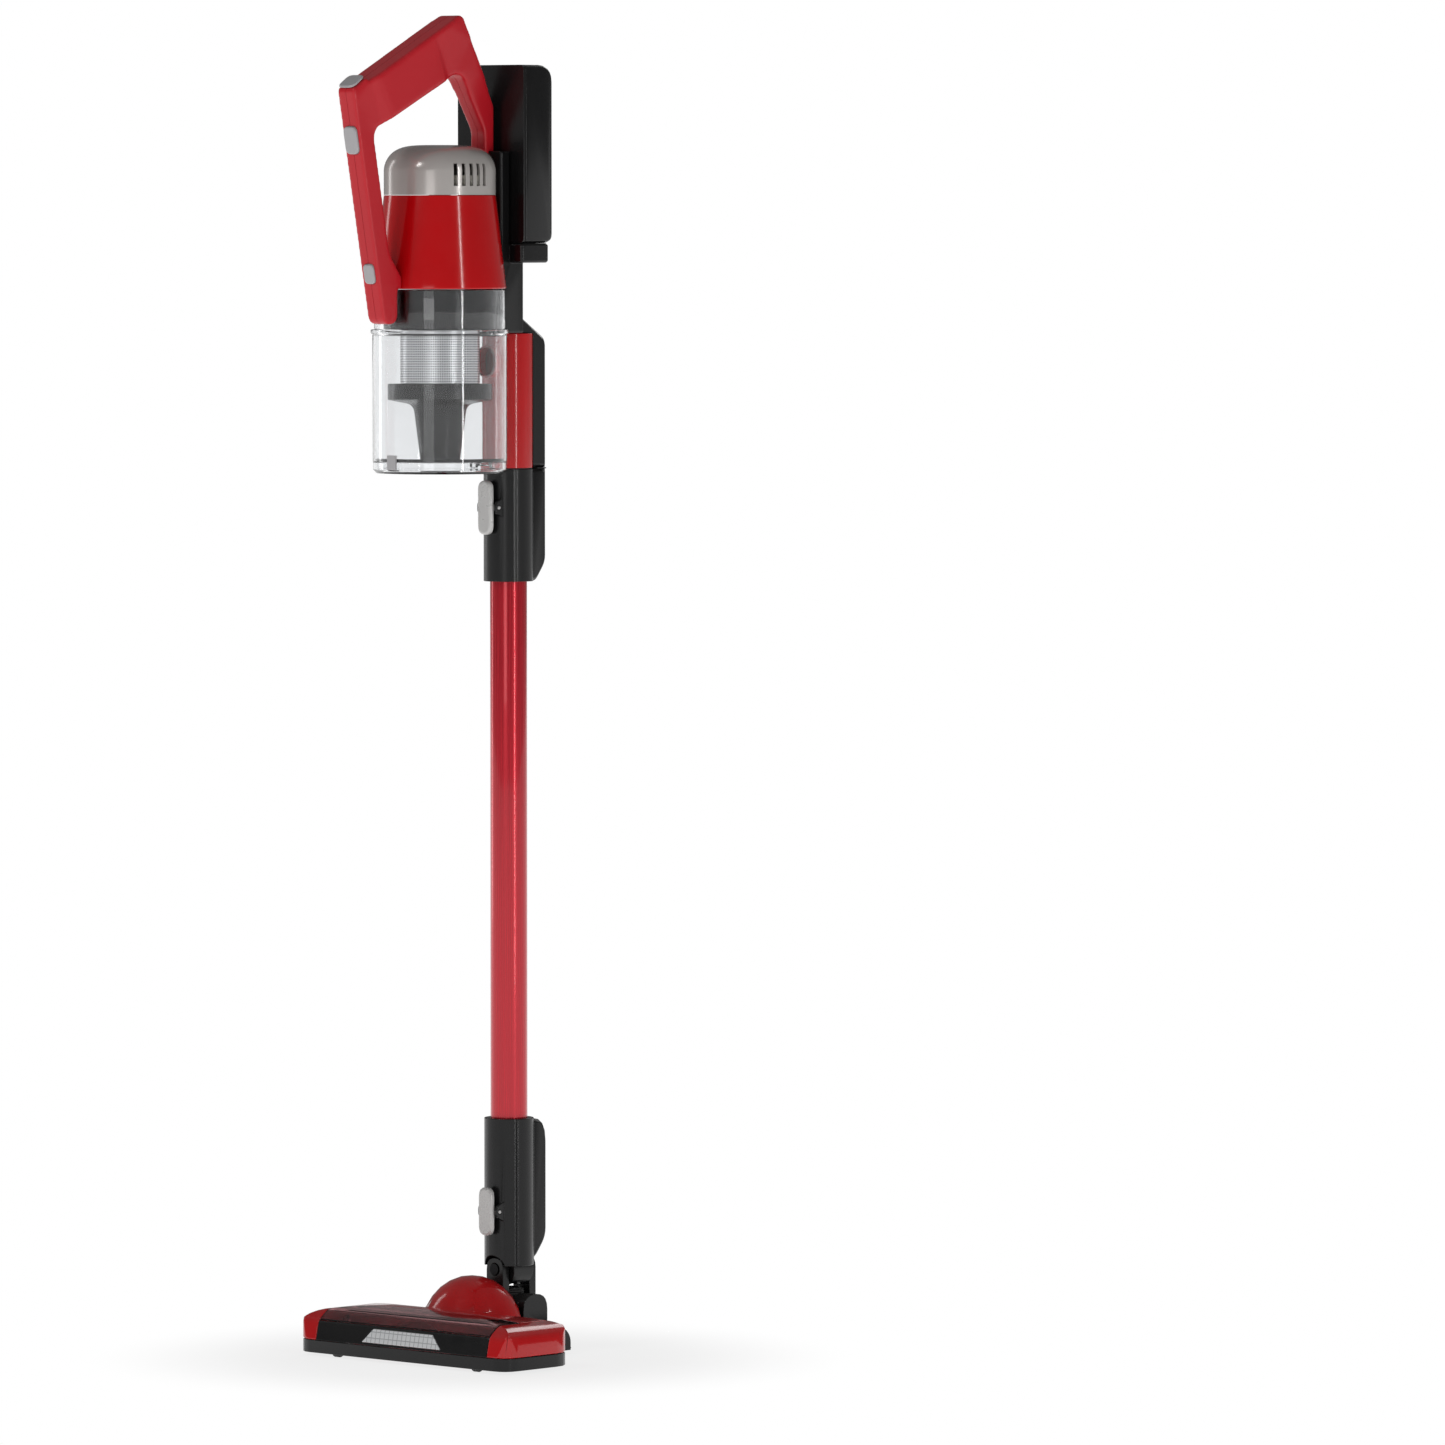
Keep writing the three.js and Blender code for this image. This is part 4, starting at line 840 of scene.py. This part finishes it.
def turned(name: str, profile: Profile, axis: tuple[float, float], sides: int = 128) -> bpy.types.Object:
    """Turn a closed profile about an upright axis.

    Args:
        name: The piece's name.
        profile: Corners as (radius from the axis, height, corner radius).
        axis: Where the axis stands, x and y.
        sides: Steps round the axis.

    Returns:
        The turned piece.
    """
    points = rounded_path(profile)
    bm = bmesh.new()
    rings = []
    for r, z in points:
        if r < 1e-6:
            rings.append([bm.verts.new((axis[0], axis[1], z))])
            continue
        rings.append(
            [
                bm.verts.new((axis[0] + r * math.cos(a), axis[1] + r * math.sin(a), z))
                for a in (2 * math.pi * k / sides for k in range(sides))
            ]
        )
    for i, ring in enumerate(rings):
        after = rings[(i + 1) % len(rings)]
        for k in range(sides):
            m = (k + 1) % sides
            if len(ring) == 1 and len(after) == 1:
                break
            if len(ring) == 1:
                bm.faces.new((ring[0], after[k], after[m]))
            elif len(after) == 1:
                bm.faces.new((ring[k], ring[m], after[0]))
            else:
                bm.faces.new((ring[k], ring[m], after[m], after[k]))
    return close_mesh(name, bm)


def close_mesh(name: str, bm: bmesh.types.BMesh, sharp: float = SHARP_ANGLE) -> bpy.types.Object:
    """Finish a mesh: outward normals and smooth faces with sharp edges kept.

    Args:
        name: The piece's name.
        bm: The mesh being edited, which is freed.
        sharp: Angle in degrees above which an edge stays sharp.

    Returns:
        The new object.
    """
    bmesh.ops.recalc_face_normals(bm, faces=bm.faces)
    mesh = bpy.data.meshes.new(name)
    bm.to_mesh(mesh)
    bm.free()
    mesh.polygons.foreach_set("use_smooth", [True] * len(mesh.polygons))
    mesh.set_sharp_from_angle(angle=math.radians(sharp))
    return add_object(name, mesh)


def extruded(
    name: str,
    outline: Sequence[tuple[float, float]],
    place: Callable[[float, float, float], Vector],
    reach: tuple[float, float],
) -> bpy.types.Object:
    """Extrude a closed outline.

    Args:
        name: The piece's name.
        outline: Its points (u, v).
        place: Turns (u, v, w) to a position.
        reach: From where to where it goes along w.

    Returns:
        The extruded piece.
    """
    bm = bmesh.new()
    near = [bm.verts.new(place(u, v, reach[0])) for u, v in outline]
    far = [bm.verts.new(place(u, v, reach[1])) for u, v in outline]
    bm.faces.new(near)
    bm.faces.new(far)
    for i in range(len(outline)):
        k = (i + 1) % len(outline)
        bm.faces.new((near[i], near[k], far[k], far[i]))
    return close_mesh(name, bm)


def apply_modifiers(obj: bpy.types.Object) -> None:
    """Turn an object's modifiers into its mesh.

    Args:
        obj: The object, which keeps the result as its mesh.
    """
    graph = bpy.context.evaluated_depsgraph_get()
    mesh = bpy.data.meshes.new_from_object(obj.evaluated_get(graph))
    obj.modifiers.clear()
    obj.data = mesh


def carve(piece: bpy.types.Object, cutters: Sequence[bpy.types.Object]) -> None:
    """Cut other closed meshes out of a piece and remove them.

    Args:
        piece: The piece that is cut.
        cutters: What is cut out of it.
    """
    for cutter in cutters:
        step = piece.modifiers.new("cut", "BOOLEAN")
        step.operation = "DIFFERENCE"
        step.solver = "EXACT"
        step.object = cutter
    apply_modifiers(piece)
    for cutter in cutters:
        bpy.data.objects.remove(cutter)
    piece.data.set_sharp_from_angle(angle=math.radians(SHARP_ANGLE))


def block(low: Sequence[float], high: Sequence[float]) -> bpy.types.Object:
    """Make a box used as a cutter.

    Args:
        low: Its lowest corner.
        high: Its highest corner.

    Returns:
        The box.
    """
    bm = bmesh.new()
    bmesh.ops.create_cube(bm, size=1.0)
    centre = [(a + b) / 2 for a, b in zip(low, high)]
    for v in bm.verts:
        v.co = Vector([m + c * (b - a) for m, c, a, b in zip(centre, v.co, low, high)])
    return close_mesh("cutter", bm)


def rod(start: Sequence[float], end: Sequence[float], radius: float, sides: int = 64) -> bpy.types.Object:
    """Make a round bar used as a cutter.

    Args:
        start: Middle of one end.
        end: Middle of the other end.
        radius: Its radius.
        sides: Steps round it.

    Returns:
        The bar.
    """
    a, b = Vector(start), Vector(end)
    bm = bmesh.new()
    place = Matrix.Translation((a + b) / 2) @ (b - a).to_track_quat("Z", "Y").to_matrix().to_4x4()
    size = {"radius1": radius, "radius2": radius, "depth": (b - a).length}
    bmesh.ops.create_cone(bm, cap_ends=True, segments=sides, matrix=place, **size)
    return close_mesh("cutter", bm)


MERGE_REACH = 2e-6  # vertices nearer than this are one
FLAT_ANGLE = 0.8  # degrees below which two faces are joined into one


def ease_edges(obj: bpy.types.Object, width: float, angle: float = 32.0, steps: int = 3) -> None:
    """Round the sharp edges of a piece a little, so that they catch the light.

    Args:
        obj: The piece.
        width: Width of the rounding.
        angle: Only edges sharper than this many degrees are rounded.
        steps: Segments in the rounding.
    """
    bevel = obj.modifiers.new("eased", "BEVEL")
    bevel.width = width
    bevel.segments = steps
    bevel.limit_method = "ANGLE"
    bevel.angle_limit = math.radians(angle)
    bevel.use_clamp_overlap = False
    bevel.harden_normals = True
    bevel.miter_outer = "MITER_ARC"


def fine_copy(node: str, width: float, angle: float = 32.0) -> bpy.types.Object:
    """Make a finer copy of a CAD node, with flat faces joined and edges eased.

    Args:
        node: The node's name.
        width: Width of the eased edges.
        angle: Only edges sharper than this many degrees are eased.

    Returns:
        The new piece, which doesn't ride on anything yet.
    """
    bm = bmesh.new()
    bm.from_mesh(frame["nodes"][node].data)
    bmesh.ops.remove_doubles(bm, verts=bm.verts, dist=MERGE_REACH)
    bmesh.ops.dissolve_limit(bm, angle_limit=math.radians(FLAT_ANGLE), verts=bm.verts, edges=bm.edges)
    piece = close_mesh(f"{node}_shell", bm, angle)
    ease_edges(piece, width, angle)
    apply_modifiers(piece)
    return piece


# ---------------------------------------------------------------- sub-assemblies


@dataclass
class Assembly:
    """Common work of every sub-assembly: dressing pieces and letting them ride."""

    finishes: Finishes

    def settle(self, piece: bpy.types.Object, body: str, slot: str, *nodes: str, look: str = "") -> None:
        """Dress a piece, let it ride and hide the CAD nodes that it stands for.

        Args:
            piece: The piece.
            body: The CAD body that it moves with.
            slot: The record's material slot.
            *nodes: CAD nodes that it replaces.
            look: Name of a finish when it isn't the slot's own.
        """
        piece.data.materials.clear()
        piece.data.materials.append(self.finishes[look or slot])
        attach(piece, body)
        if nodes:
            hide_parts(*nodes)
        log.info("%s rides on %s", piece.name, body)


BODY_OF = {node: body for body, nodes in frame["record"]["behaviour"]["bodies"].items() for node in nodes}
SLOT_OF = {row["node"]: row["material_slot"] for row in frame["record"]["subparts"]}


@dataclass
class Shells(Assembly):
    """Moulded parts whose fine copies keep the frame's shape."""

    widths: dict[str, float] = field(
        default_factory=lambda: {
            "head_base": 0.5,
            "head_cover": 0.7,
            "end_cap_left": 1.2,
            "end_cap_right": 1.2,
            "roller_window": 0.4,
            "front_panel": 0.5,
            "headlight_lens": 0.6,
            "neck_elbow": 0.6,
            "lower_connector": 0.5,
            "lower_connector_rear": 0.7,
            "lower_release_button": 0.8,
            "upper_connector": 0.3,
            "upper_connector_rear": 0.3,
            "upper_release_button": 0.8,
            "duct_cover": 0.4,
            "spine": 0.7,
            "battery_case": 1.0,
            "battery_plate": 0.4,
            "battery_latch": 0.4,
            "handle_cap": 0.5,
            "grip_pad": 0.6,
            "power_button": 0.5,
            "cup_release_button": 0.5,
            "lid_latch": 0.4,
            "cup_lid": 0.4,
            "intake_duct": 0.3,
        }
    )
    looks: dict[str, str] = field(
        default_factory=lambda: {
            "headlight_lens": "lit_lens",
            "lower_release_button": "silver_key",
            "upper_release_button": "silver_key",
        }
    )

    def build(self) -> None:
        """Copy, ease and dress each part."""
        for node, width in self.widths.items():
            piece = fine_copy(node, width * MM)
            self.settle(piece, BODY_OF[node], SLOT_OF[node], node, look=self.looks.get(node, ""))


def ease(value: float, start: float, end: float) -> float:
    """Rise smoothly from 0 to 1.

    Args:
        value: Where it is read.
        start: Where it starts to rise.
        end: Where it has risen.

    Returns:
        The height there.
    """
    t = min(max((value - start) / (end - start), 0.0), 1.0)
    return t * t * (3 - 2 * t)


@dataclass
class LoopHandle(Assembly):
    """The loop handle: a front strut, a grip and a back strut that run into each other.

    The outline is in millimetres, y from the wand's axis and z above the foot of the front strut.
    """

    strut_half: float = 10.0
    grip_half: float = 14.0
    back_half: float = 9.0
    split: float = 0.175
    voxel: float = 1.2
    smoothing: int = 14
    rounding: float = 5.6
    lean: float = 0.186
    key_gap: float = 0.35
    key_room: float = 7.5
    key_front: float = -8.0
    key_corner: float = 0.62  # corner radius of a pocket as a share of its half width
    slope_rise: float = 0.25  # what the strut's slope adds to half the height of a button's box
    outline: Profile = (
        (-161.0, 0.0, 8.0),
        (-198.2, 200.0, 3.0),
        (-182.4, 210.5, 3.0),
        (-181.6, 207.0, 4.0),
        (-68.0, 266.2, 20.0),
        (-62.5, 255.0, 24.0),
        (-26.0, 187.0, 12.0),
        (-26.0, 135.0, 0.0),
        (-37.5, 135.0, 0.0),
        (-37.5, 165.0, 16.0),
        (-68.6, 217.3, 13.0),
        (-174.0, 165.4, 12.0),
        (-154.4, 60.0, 26.0),
        (-139.8, 40.0, 5.0),
        (-139.8, 30.6, 0.6),
        (-144.8, 30.2, 0.6),
        (-144.8, 0.0, 8.0),
    )
    grip_from: tuple[float, float] = (-184.0, 183.0)
    grip_along: tuple[float, float] = (122.0, 63.0)

    def half_width(self, y: float, z: float) -> float:
        """Give the handle's half width at a point of its outline.

        Args:
            y: Distance from the wand's axis.
            z: Height above the foot.

        Returns:
            The half width.
        """
        run = Vector(self.grip_along)
        along = (Vector((y, z)) - Vector(self.grip_from)).dot(run) / run.length_squared
        grip = self.strut_half + (self.grip_half - self.strut_half) * ease(along, 0.02, 0.2)
        if along < 0.7:
            return grip
        back = self.back_half + (self.grip_half - self.back_half) * ease(z, 190.0, 236.0)
        return min(grip - 2.0 * ease(along, 0.85, 1.02), back)

    def outline_points(self, step: float = 6.0) -> list[tuple[float, float]]:
        """Round the outline's corners and add points along its long straight lines.

        Args:
            step: Greatest distance between two points.

        Returns:
            The points (y, z) in millimetres.
        """
        corners = rounded_path(self.outline, 6)
        points = []
        for (u0, v0), (u1, v1) in zip(corners, corners[1:] + corners[:1]):
            count = max(1, math.ceil(math.hypot(u1 - u0, v1 - v0) / step))
            points += [(u0 + (u1 - u0) * k / count, v0 + (v1 - v0) * k / count) for k in range(count)]
        return points

    def solid(self, origin: Vector) -> bpy.types.Object:
        """Make the whole handle before it is split.

        Args:
            origin: The wand's axis at the height of the foot.

        Returns:
            The handle.
        """
        bm = bmesh.new()
        sides = []
        for side in (-1, 1):
            sides.append(
                [
                    bm.verts.new(origin + Vector((side * self.half_width(y, z), y, z)) * MM)
                    for y, z in self.outline_points()
                ]
            )
        rims = [bm.faces.new(ring) for ring in sides]
        for i, vert in enumerate(sides[0]):
            k = (i + 1) % len(sides[0])
            bm.faces.new((vert, sides[0][k], sides[1][k], sides[1][i]))
        edges = {edge for face in rims for edge in face.edges}
        bmesh.ops.bevel(
            bm,
            geom=list(edges),
            offset=self.rounding * MM,
            segments=5,
            profile=0.5,
            affect="EDGES",
            clamp_overlap=True,
        )
        bmesh.ops.triangulate(bm, faces=bm.faces)
        whole = close_mesh("handle_whole", bm)
        grid = whole.modifiers.new("grid", "REMESH")
        grid.mode = "VOXEL"
        grid.voxel_size = self.voxel * MM
        flow = whole.modifiers.new("flow", "SMOOTH")
        flow.factor = 0.5
        flow.iterations = self.smoothing
        apply_modifiers(whole)
        return whole

    def pocket(self, button: str) -> bpy.types.Object:
        """Make the pocket of a button on the strut's sloping front.

        Args:
            button: The button's node.

        Returns:
            The cutter.
        """
        low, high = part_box(button)
        half = (high.z - low.z) / 2 / MM + self.key_gap - self.slope_rise
        across = (high.x - low.x) / 2 / MM + self.key_gap
        corner = across * self.key_corner
        corners = [(u * across, v * half, corner) for u, v in ((-1, -1), (1, -1), (1, 1), (-1, 1))]
        shape = rounded_path(corners, 6)
        reach = (self.key_front, self.key_room)
        box = extruded("cutter", shape, lambda u, v, w: Vector((u, w, v)) * MM, reach)
        turn = Matrix.Rotation(math.atan(self.lean), 3, "X")
        for v in box.data.vertices:
            v.co = turn @ v.co + middle(button)
        return box

    def build(self) -> None:
        """Split the handle, cut the pockets and dress both halves."""
        tube = middle("wand_tube")
        whole = self.solid(Vector((tube.x, tube.y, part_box("handle_left")[0].z)))
        for side, node in ((-1, "handle_left"), (1, "handle_right")):
            bm = bmesh.new()
            bm.from_mesh(whole.data)
            cut = bmesh.ops.bisect_plane(
                bm,
                geom=[*bm.verts, *bm.edges, *bm.faces],
                plane_co=(side * self.split * MM, 0, 0),
                plane_no=(side, 0, 0),
                clear_inner=True,
            )
            rim = [item for item in cut["geom_cut"] if isinstance(item, bmesh.types.BMEdge)]
            bmesh.ops.holes_fill(bm, edges=rim)
            bmesh.ops.triangulate(bm, faces=[face for face in bm.faces if len(face.verts) > 4])
            piece = close_mesh(f"{node}_flowing", bm, 50.0)
            carve(piece, [self.pocket("power_button"), self.pocket("cup_release_button")])
            self.settle(piece, BODY_OF[node], SLOT_OF[node], node)
        bpy.data.objects.remove(whole)


@dataclass(frozen=True)
class Turning:
    """A turned part: its profile in millimetres above the bottom of a node."""

    node: str
    base: str
    profile: Profile


DOME_SIDE = 0.45  # below one, the dome's side stays upright for longer
DOME_CROWN = 1.1  # above one, its crown rises a little later


def dome_profile(radius: float, wall_top: float, rise: float, shell: float, steps: int = 22) -> Profile:
    """Draw the profile of the dome, a short wall that rounds over to a flat top.

    Args:
        radius: Its outer radius.
        wall_top: Height at which the wall starts to round over.
        rise: How much higher the top is.
        shell: Thickness of the shell.
        steps: Steps in the rounding.

    Returns:
        The closed profile, outside first.
    """

    def arc(r: float, up: float) -> list[tuple[float, float, float]]:
        """Draw one side of the rounding, from the wall up to the axis.

        Args:
            r: Radius at the wall.
            up: How much higher the top is.

        Returns:
            The points of the side.
        """
        turns = [math.pi / 2 * k / steps for k in range(steps + 1)]
        return [
            (r * math.cos(t) ** DOME_SIDE if k < steps else 0.0, wall_top + up * math.sin(t) ** DOME_CROWN, 0)
            for k, t in enumerate(turns)
        ]

    inside = arc(radius - shell, rise - shell)[::-1]
    return [(radius, 0, 0), *arc(radius, rise), *inside, (radius - shell, 0, 0)]


TURNINGS = (
    Turning("wand_tube", "wand_tube", [(14.8, 0, 0), (16, 0, 0.3), (16, 580, 0.3), (14.8, 580, 0)]),
    Turning(
        "dust_cup",
        "cup_lid",
        [
            (55.8, 10, 0), (58, 10, 0.5), (58, 118.4, 0.8), (59.4, 120, 0.6), (59.4, 123, 0.5),
            (55.8, 123, 0),
        ],
    ),
    Turning(
        "cyclone_body",
        "cup_lid",
        [
            (14, 13, 0), (17, 13, 0), (23, 60, 8), (45, 64, 1), (45, 77.65, 0.5),
            (30, 77.65, 0), (28, 69, 2), (19, 64, 4),
        ],
    ),
    Turning("mesh_filter", "mesh_filter", [(32, 0, 0), (34, 0, 0), (34, 44.65, 0), (32, 44.65, 0)]),
    Turning(
        "cyclone_head",
        "cyclone_head",
        [
            (14, 0, 0), (48.3, 0, 0.5), (50.3, 33.65, 0), (38, 33.65, 0), (36, 3.65, 1),
            (14, 3.65, 0),
        ],
    ),
    Turning(
        "cyclone_collar",
        "cyclone_collar",
        [(54.3, 0, 0), (56.5, 0, 0.5), (56.5, 33.65, 0.5), (54.3, 33.65, 0)],
    ),
    Turning(
        "motor_housing",
        "motor_housing",
        [
            (34, 0, 0), (57, 0, 1), (56.2, 7, 3), (48, 80, 0.6), (45.8, 80, 0), (54.6, 2.4, 0),
            (34, 2.2, 0),
        ],
    ),
    Turning("dome_cap", "dome_cap", dome_profile(48, 20.65, 22, 2.2)),
)


@dataclass
class RoundBodies(Assembly):
    """The turned parts: cup, cyclone, collar, housing, dome and tubes."""

    sides: int = 192
    flat_back: float = 58.0
    inlet_height: float = 97.0
    inlet_radius: float = 12.0
    inlet_reach: float = 20.0  # how far the inlet's cutter starts in front of the flat back
    vents: int = 5
    vent_width: float = 3.6
    vent_reach: tuple[float, float] = (38.0, 56.0)
    vent_rise: tuple[float, float] = (7.65, 26.65)
    vent_step: float = 9.0
    vent_turn: float = 11.0

    def turn(self, part: Turning) -> bpy.types.Object:
        """Turn a part about the middle of the cup, or of the wand for its tube.

        Args:
            part: What to turn.

        Returns:
            The turned piece.
        """
        axis = middle("wand_tube" if part.node == "wand_tube" else "mesh_filter")
        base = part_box(part.base)[0].z
        profile = [(r * MM, base + z * MM, rounding * MM) for r, z, rounding in part.profile]
        return turned(f"{part.node}_turned", profile, (axis.x, axis.y), self.sides)

    def cup_cuts(self) -> list[bpy.types.Object]:
        """Make what is cut out of the cup: its flat back and the air inlet.

        Returns:
            The cutters.
        """
        low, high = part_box("dust_cup")
        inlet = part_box("cup_lid")[0].z + self.inlet_height * MM
        behind = middle("mesh_filter").y + self.flat_back * MM
        return [
            block((-FAR, behind, low.z - MM), (FAR, FAR, high.z + MM)),
            rod((0, behind - self.inlet_reach * MM, inlet), (0, FAR, inlet), self.inlet_radius * MM),
        ]

    def vent_cuts(self) -> list[bpy.types.Object]:
        """Make the upright air vents on both sides of the dome.

        Returns:
            The cutters.
        """
        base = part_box("dome_cap")[0].z
        axis = Vector((0, middle("mesh_filter").y, 0))
        corners = [
            (reach * MM, side * self.vent_width / 2 * MM, base + rise * MM)
            for reach, side, rise in zip(self.vent_reach, (-1, 1), self.vent_rise)
        ]
        cutters = []
        for side in (1, -1):
            for i in range(self.vents):
                turn = math.radians((i - (self.vents - 1) / 2) * self.vent_step - self.vent_turn)
                slot = block(*corners)
                for v in slot.data.vertices:
                    spot = Matrix.Rotation(turn, 3, "Z") @ v.co
                    v.co = Vector((spot.x * side, spot.y, spot.z)) + axis
                if side < 0:
                    slot.data.flip_normals()
                cutters.append(slot)
        return cutters

    def build(self) -> None:
        """Make and dress each part."""
        for part in TURNINGS:
            piece = self.turn(part)
            if part.node == "dust_cup":
                carve(piece, self.cup_cuts())
            elif part.node == "dome_cap":
                carve(piece, self.vent_cuts())
            look = "wire_mesh" if part.node == "mesh_filter" else ""
            self.settle(piece, BODY_OF[part.node], SLOT_OF[part.node], part.node, look=look)


@dataclass
class Trims(Assembly):
    """Small pieces that only show: the gaiter on the neck, the gaskets and the battery's pad.

    Sizes are in millimetres.
    """

    gaiter_radius: float = 13.2
    gaiter_bore: float = 9.2
    gaiter_folds: int = 3
    fold_depth: float = 1.4
    fold_round: float = 0.3
    gaiter_drop: float = 17.6  # from the swivel pin down to the gaiter's top
    gaiter_height: float = 6.6
    gasket_radii: tuple[float, float] = (17.2, 20.6)
    rib_start: float = 21.5  # from the wand's axis back to the rib's gasket
    inset: float = 0.8
    air: float = 0.06  # gap above and below a gasket
    pad_thick: float = 0.2
    pad_insets: tuple[float, float, float] = (4.0, 2.0, 6.0)  # at the sides, front and back
    sides: int = 96

    def gaiter(self) -> None:
        """Fold a soft gaiter round the neck's pipe, between the drum and the swivel."""
        top = middle("swivel_pin_front").z - self.gaiter_drop * MM
        bottom = top - self.gaiter_height * MM
        step = (top - bottom) / (2 * self.gaiter_folds)
        bore = self.gaiter_bore * MM
        outside = []
        for k in range(2 * self.gaiter_folds + 1):
            r = self.gaiter_radius - (self.fold_depth if k % 2 else 0.0)
            outside.append((r * MM, bottom + k * step, self.fold_round * MM))
        axis = (middle("neck_elbow").x, middle("wand_tube").y)
        profile = [(bore, bottom, 0), *outside, (bore, top, 0)]
        self.settle(turned("neck_gaiter", profile, axis, self.sides), "neck", "rubber")

    def gasket(self) -> None:
        """Lay the dark gasket between the wand's connector and the intake duct."""
        low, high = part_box("duct_cover")
        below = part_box("upper_connector")[1].z + self.air * MM
        above = low.z - self.air * MM
        tube = middle("wand_tube")
        inner, outer = (r * MM for r in self.gasket_radii)
        profile = [(inner, below, 0), (outer, below, 0), (outer, above, 0), (inner, above, 0)]
        ring = turned("joint_gasket", profile, (tube.x, tube.y), self.sides)
        self.settle(ring, BODY_OF["duct_cover"], "rubber")
        inset = self.inset * MM
        strip = block(
            (low.x + inset, tube.y + self.rib_start * MM, below),
            (high.x - inset, high.y - inset, above),
        )
        strip.name = "rib_gasket"
        self.settle(strip, BODY_OF["duct_cover"], "rubber")

    def battery_pad(self) -> None:
        """Lay the thin dark pad on which the battery's foot stands."""
        low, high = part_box("battery_case")
        side, front, back = (inset * MM for inset in self.pad_insets)
        top = low.z - self.air * MM
        pad = block(
            (low.x + side, low.y + front, top - self.pad_thick * MM),
            (high.x - side, high.y - back, top),
        )
        pad.name = "battery_pad"
        self.settle(pad, "hand_unit", "rubber")

    def build(self) -> None:
        """Make and dress each piece."""
        self.gaiter()
        self.gasket()
        self.battery_pad()


def dress_kept_nodes(finishes: Finishes) -> None:
    """Give every CAD node that still shows its finish.

    Args:
        finishes: The finishes.
    """
    for node, obj in frame["nodes"].items():
        look = "dark_pin" if node.startswith("swivel_pin") else SLOT_OF[node]
        for slot in obj.material_slots:
            slot.material = finishes[look]


# ---------------------------------------------------------------- studio


@dataclass(frozen=True)
class SoftBox:
    """A rectangular studio light aimed at the middle of the object."""

    name: str
    azimuth: float
    height: float
    distance: float
    width: float
    tall: float
    power: float

    def build(self, aim: Vector) -> None:
        """Hang the light.

        Args:
            aim: The point that it faces.
        """
        light = bpy.data.lights.new(self.name, "AREA")
        light.shape = "RECTANGLE"
        light.size = self.width
        light.size_y = self.tall
        light.energy = self.power
        lamp = bpy.data.objects.new(self.name, light)
        angle = math.radians(self.azimuth)
        spot = aim + Vector((math.sin(angle) * self.distance, -math.cos(angle) * self.distance, 0))
        spot.z = self.height
        lamp.location = spot
        lamp.rotation_mode = "QUATERNION"
        lamp.rotation_quaternion = (aim - spot).to_track_quat("-Z", "Y")
        bpy.context.scene.collection.objects.link(lamp)


@dataclass
class Studio:
    """Floor, sky, lights and camera.

    The sky is white where it is seen, straight or through clear plastic, and dim where it only
    lights the object.
    """

    azimuth: float = 43.0
    distance: float = 9.1
    eye: float = 1.0
    lens: float = 262.4
    aside: float = 0.185
    aim_height: float = 0.5475
    surround: float = 0.16
    floor_half: float = 30.0
    sensor: float = 36.0
    far_clip: float = 200.0

    def build(self) -> None:
        """Set up the whole studio."""
        self.add_floor()
        self.add_sky()
        for box in (
            SoftBox("key_light", -8.0, 2.4, 2.4, 0.7, 0.7, 15.0),
            SoftBox("strip_light", 84.0, 0.95, 2.4, 0.09, 2.2, 10.0),
            SoftBox("fill_light", -80.0, 1.2, 3.0, 0.4, 2.2, 7.0),
            SoftBox("back_light", 200.0, 2.0, 3.0, 1.4, 1.0, 10.0),
            SoftBox("low_light", 25.0, 0.9, 2.8, 0.9, 0.5, 3.0),
        ):
            box.build((cad_box[0] + cad_box[1]) / 2)
        self.add_camera()

    def add_floor(self) -> None:
        """Lay a wide pale floor."""
        bm = bmesh.new()
        bmesh.ops.create_grid(bm, x_segments=8, y_segments=8, size=self.floor_half)
        floor = close_mesh("studio_floor", bm)
        floor.data.materials.append(FloorFinish("pale_floor", middle("head_base")).build())

    def add_sky(self) -> None:
        """Set an even white surround."""
        world = bpy.data.worlds.new("white_surround")
        bpy.context.scene.world = world
        world.use_nodes = True
        tree = world.node_tree
        n = Nodes(tree)
        soft, white = tree.nodes["Background"], n.add("ShaderNodeBackground")
        for background in (soft, white):
            background.inputs["Color"].default_value = WHITE
        soft.inputs["Strength"].default_value = self.surround
        path = n.add("ShaderNodeLightPath").outputs
        seen = n.maths("MAXIMUM", path["Is Camera Ray"], path["Is Transmission Ray"])
        either = n.mix(seen, soft.outputs[0], white.outputs[0])
        n.link(either, tree.nodes["World Output"].inputs["Surface"])
        bpy.context.scene.view_settings.view_transform = "Standard"

    def add_camera(self) -> None:
        """Place the camera and make it the scene's own."""
        wand = middle("wand_tube")
        angle = math.radians(self.azimuth)
        across = Vector((math.cos(angle), math.sin(angle), 0.0))
        back = Vector((math.sin(angle), -math.cos(angle), 0.0))
        aim = Vector((wand.x, wand.y, self.aim_height)) + across * self.aside
        spot = aim + back * self.distance
        spot.z = self.eye
        data = bpy.data.cameras.new("studio_camera")
        data.lens = self.lens
        data.sensor_width = self.sensor
        data.clip_end = self.far_clip
        camera = bpy.data.objects.new("studio_camera", data)
        camera.location = spot
        camera.rotation_mode = "QUATERNION"
        camera.rotation_quaternion = (aim - spot).to_track_quat("-Z", "Y")
        bpy.context.scene.collection.objects.link(camera)
        bpy.context.scene.camera = camera


def main() -> None:
    """Build the studio, the finishes and every sub-assembly."""
    logging.basicConfig(level=logging.INFO)
    Studio().build()
    finishes = Finishes()
    dress_kept_nodes(finishes)
    Shells(finishes).build()
    RoundBodies(finishes).build()
    LoopHandle(finishes).build()
    Trims(finishes).build()


if __name__ == "__main__":
    main()
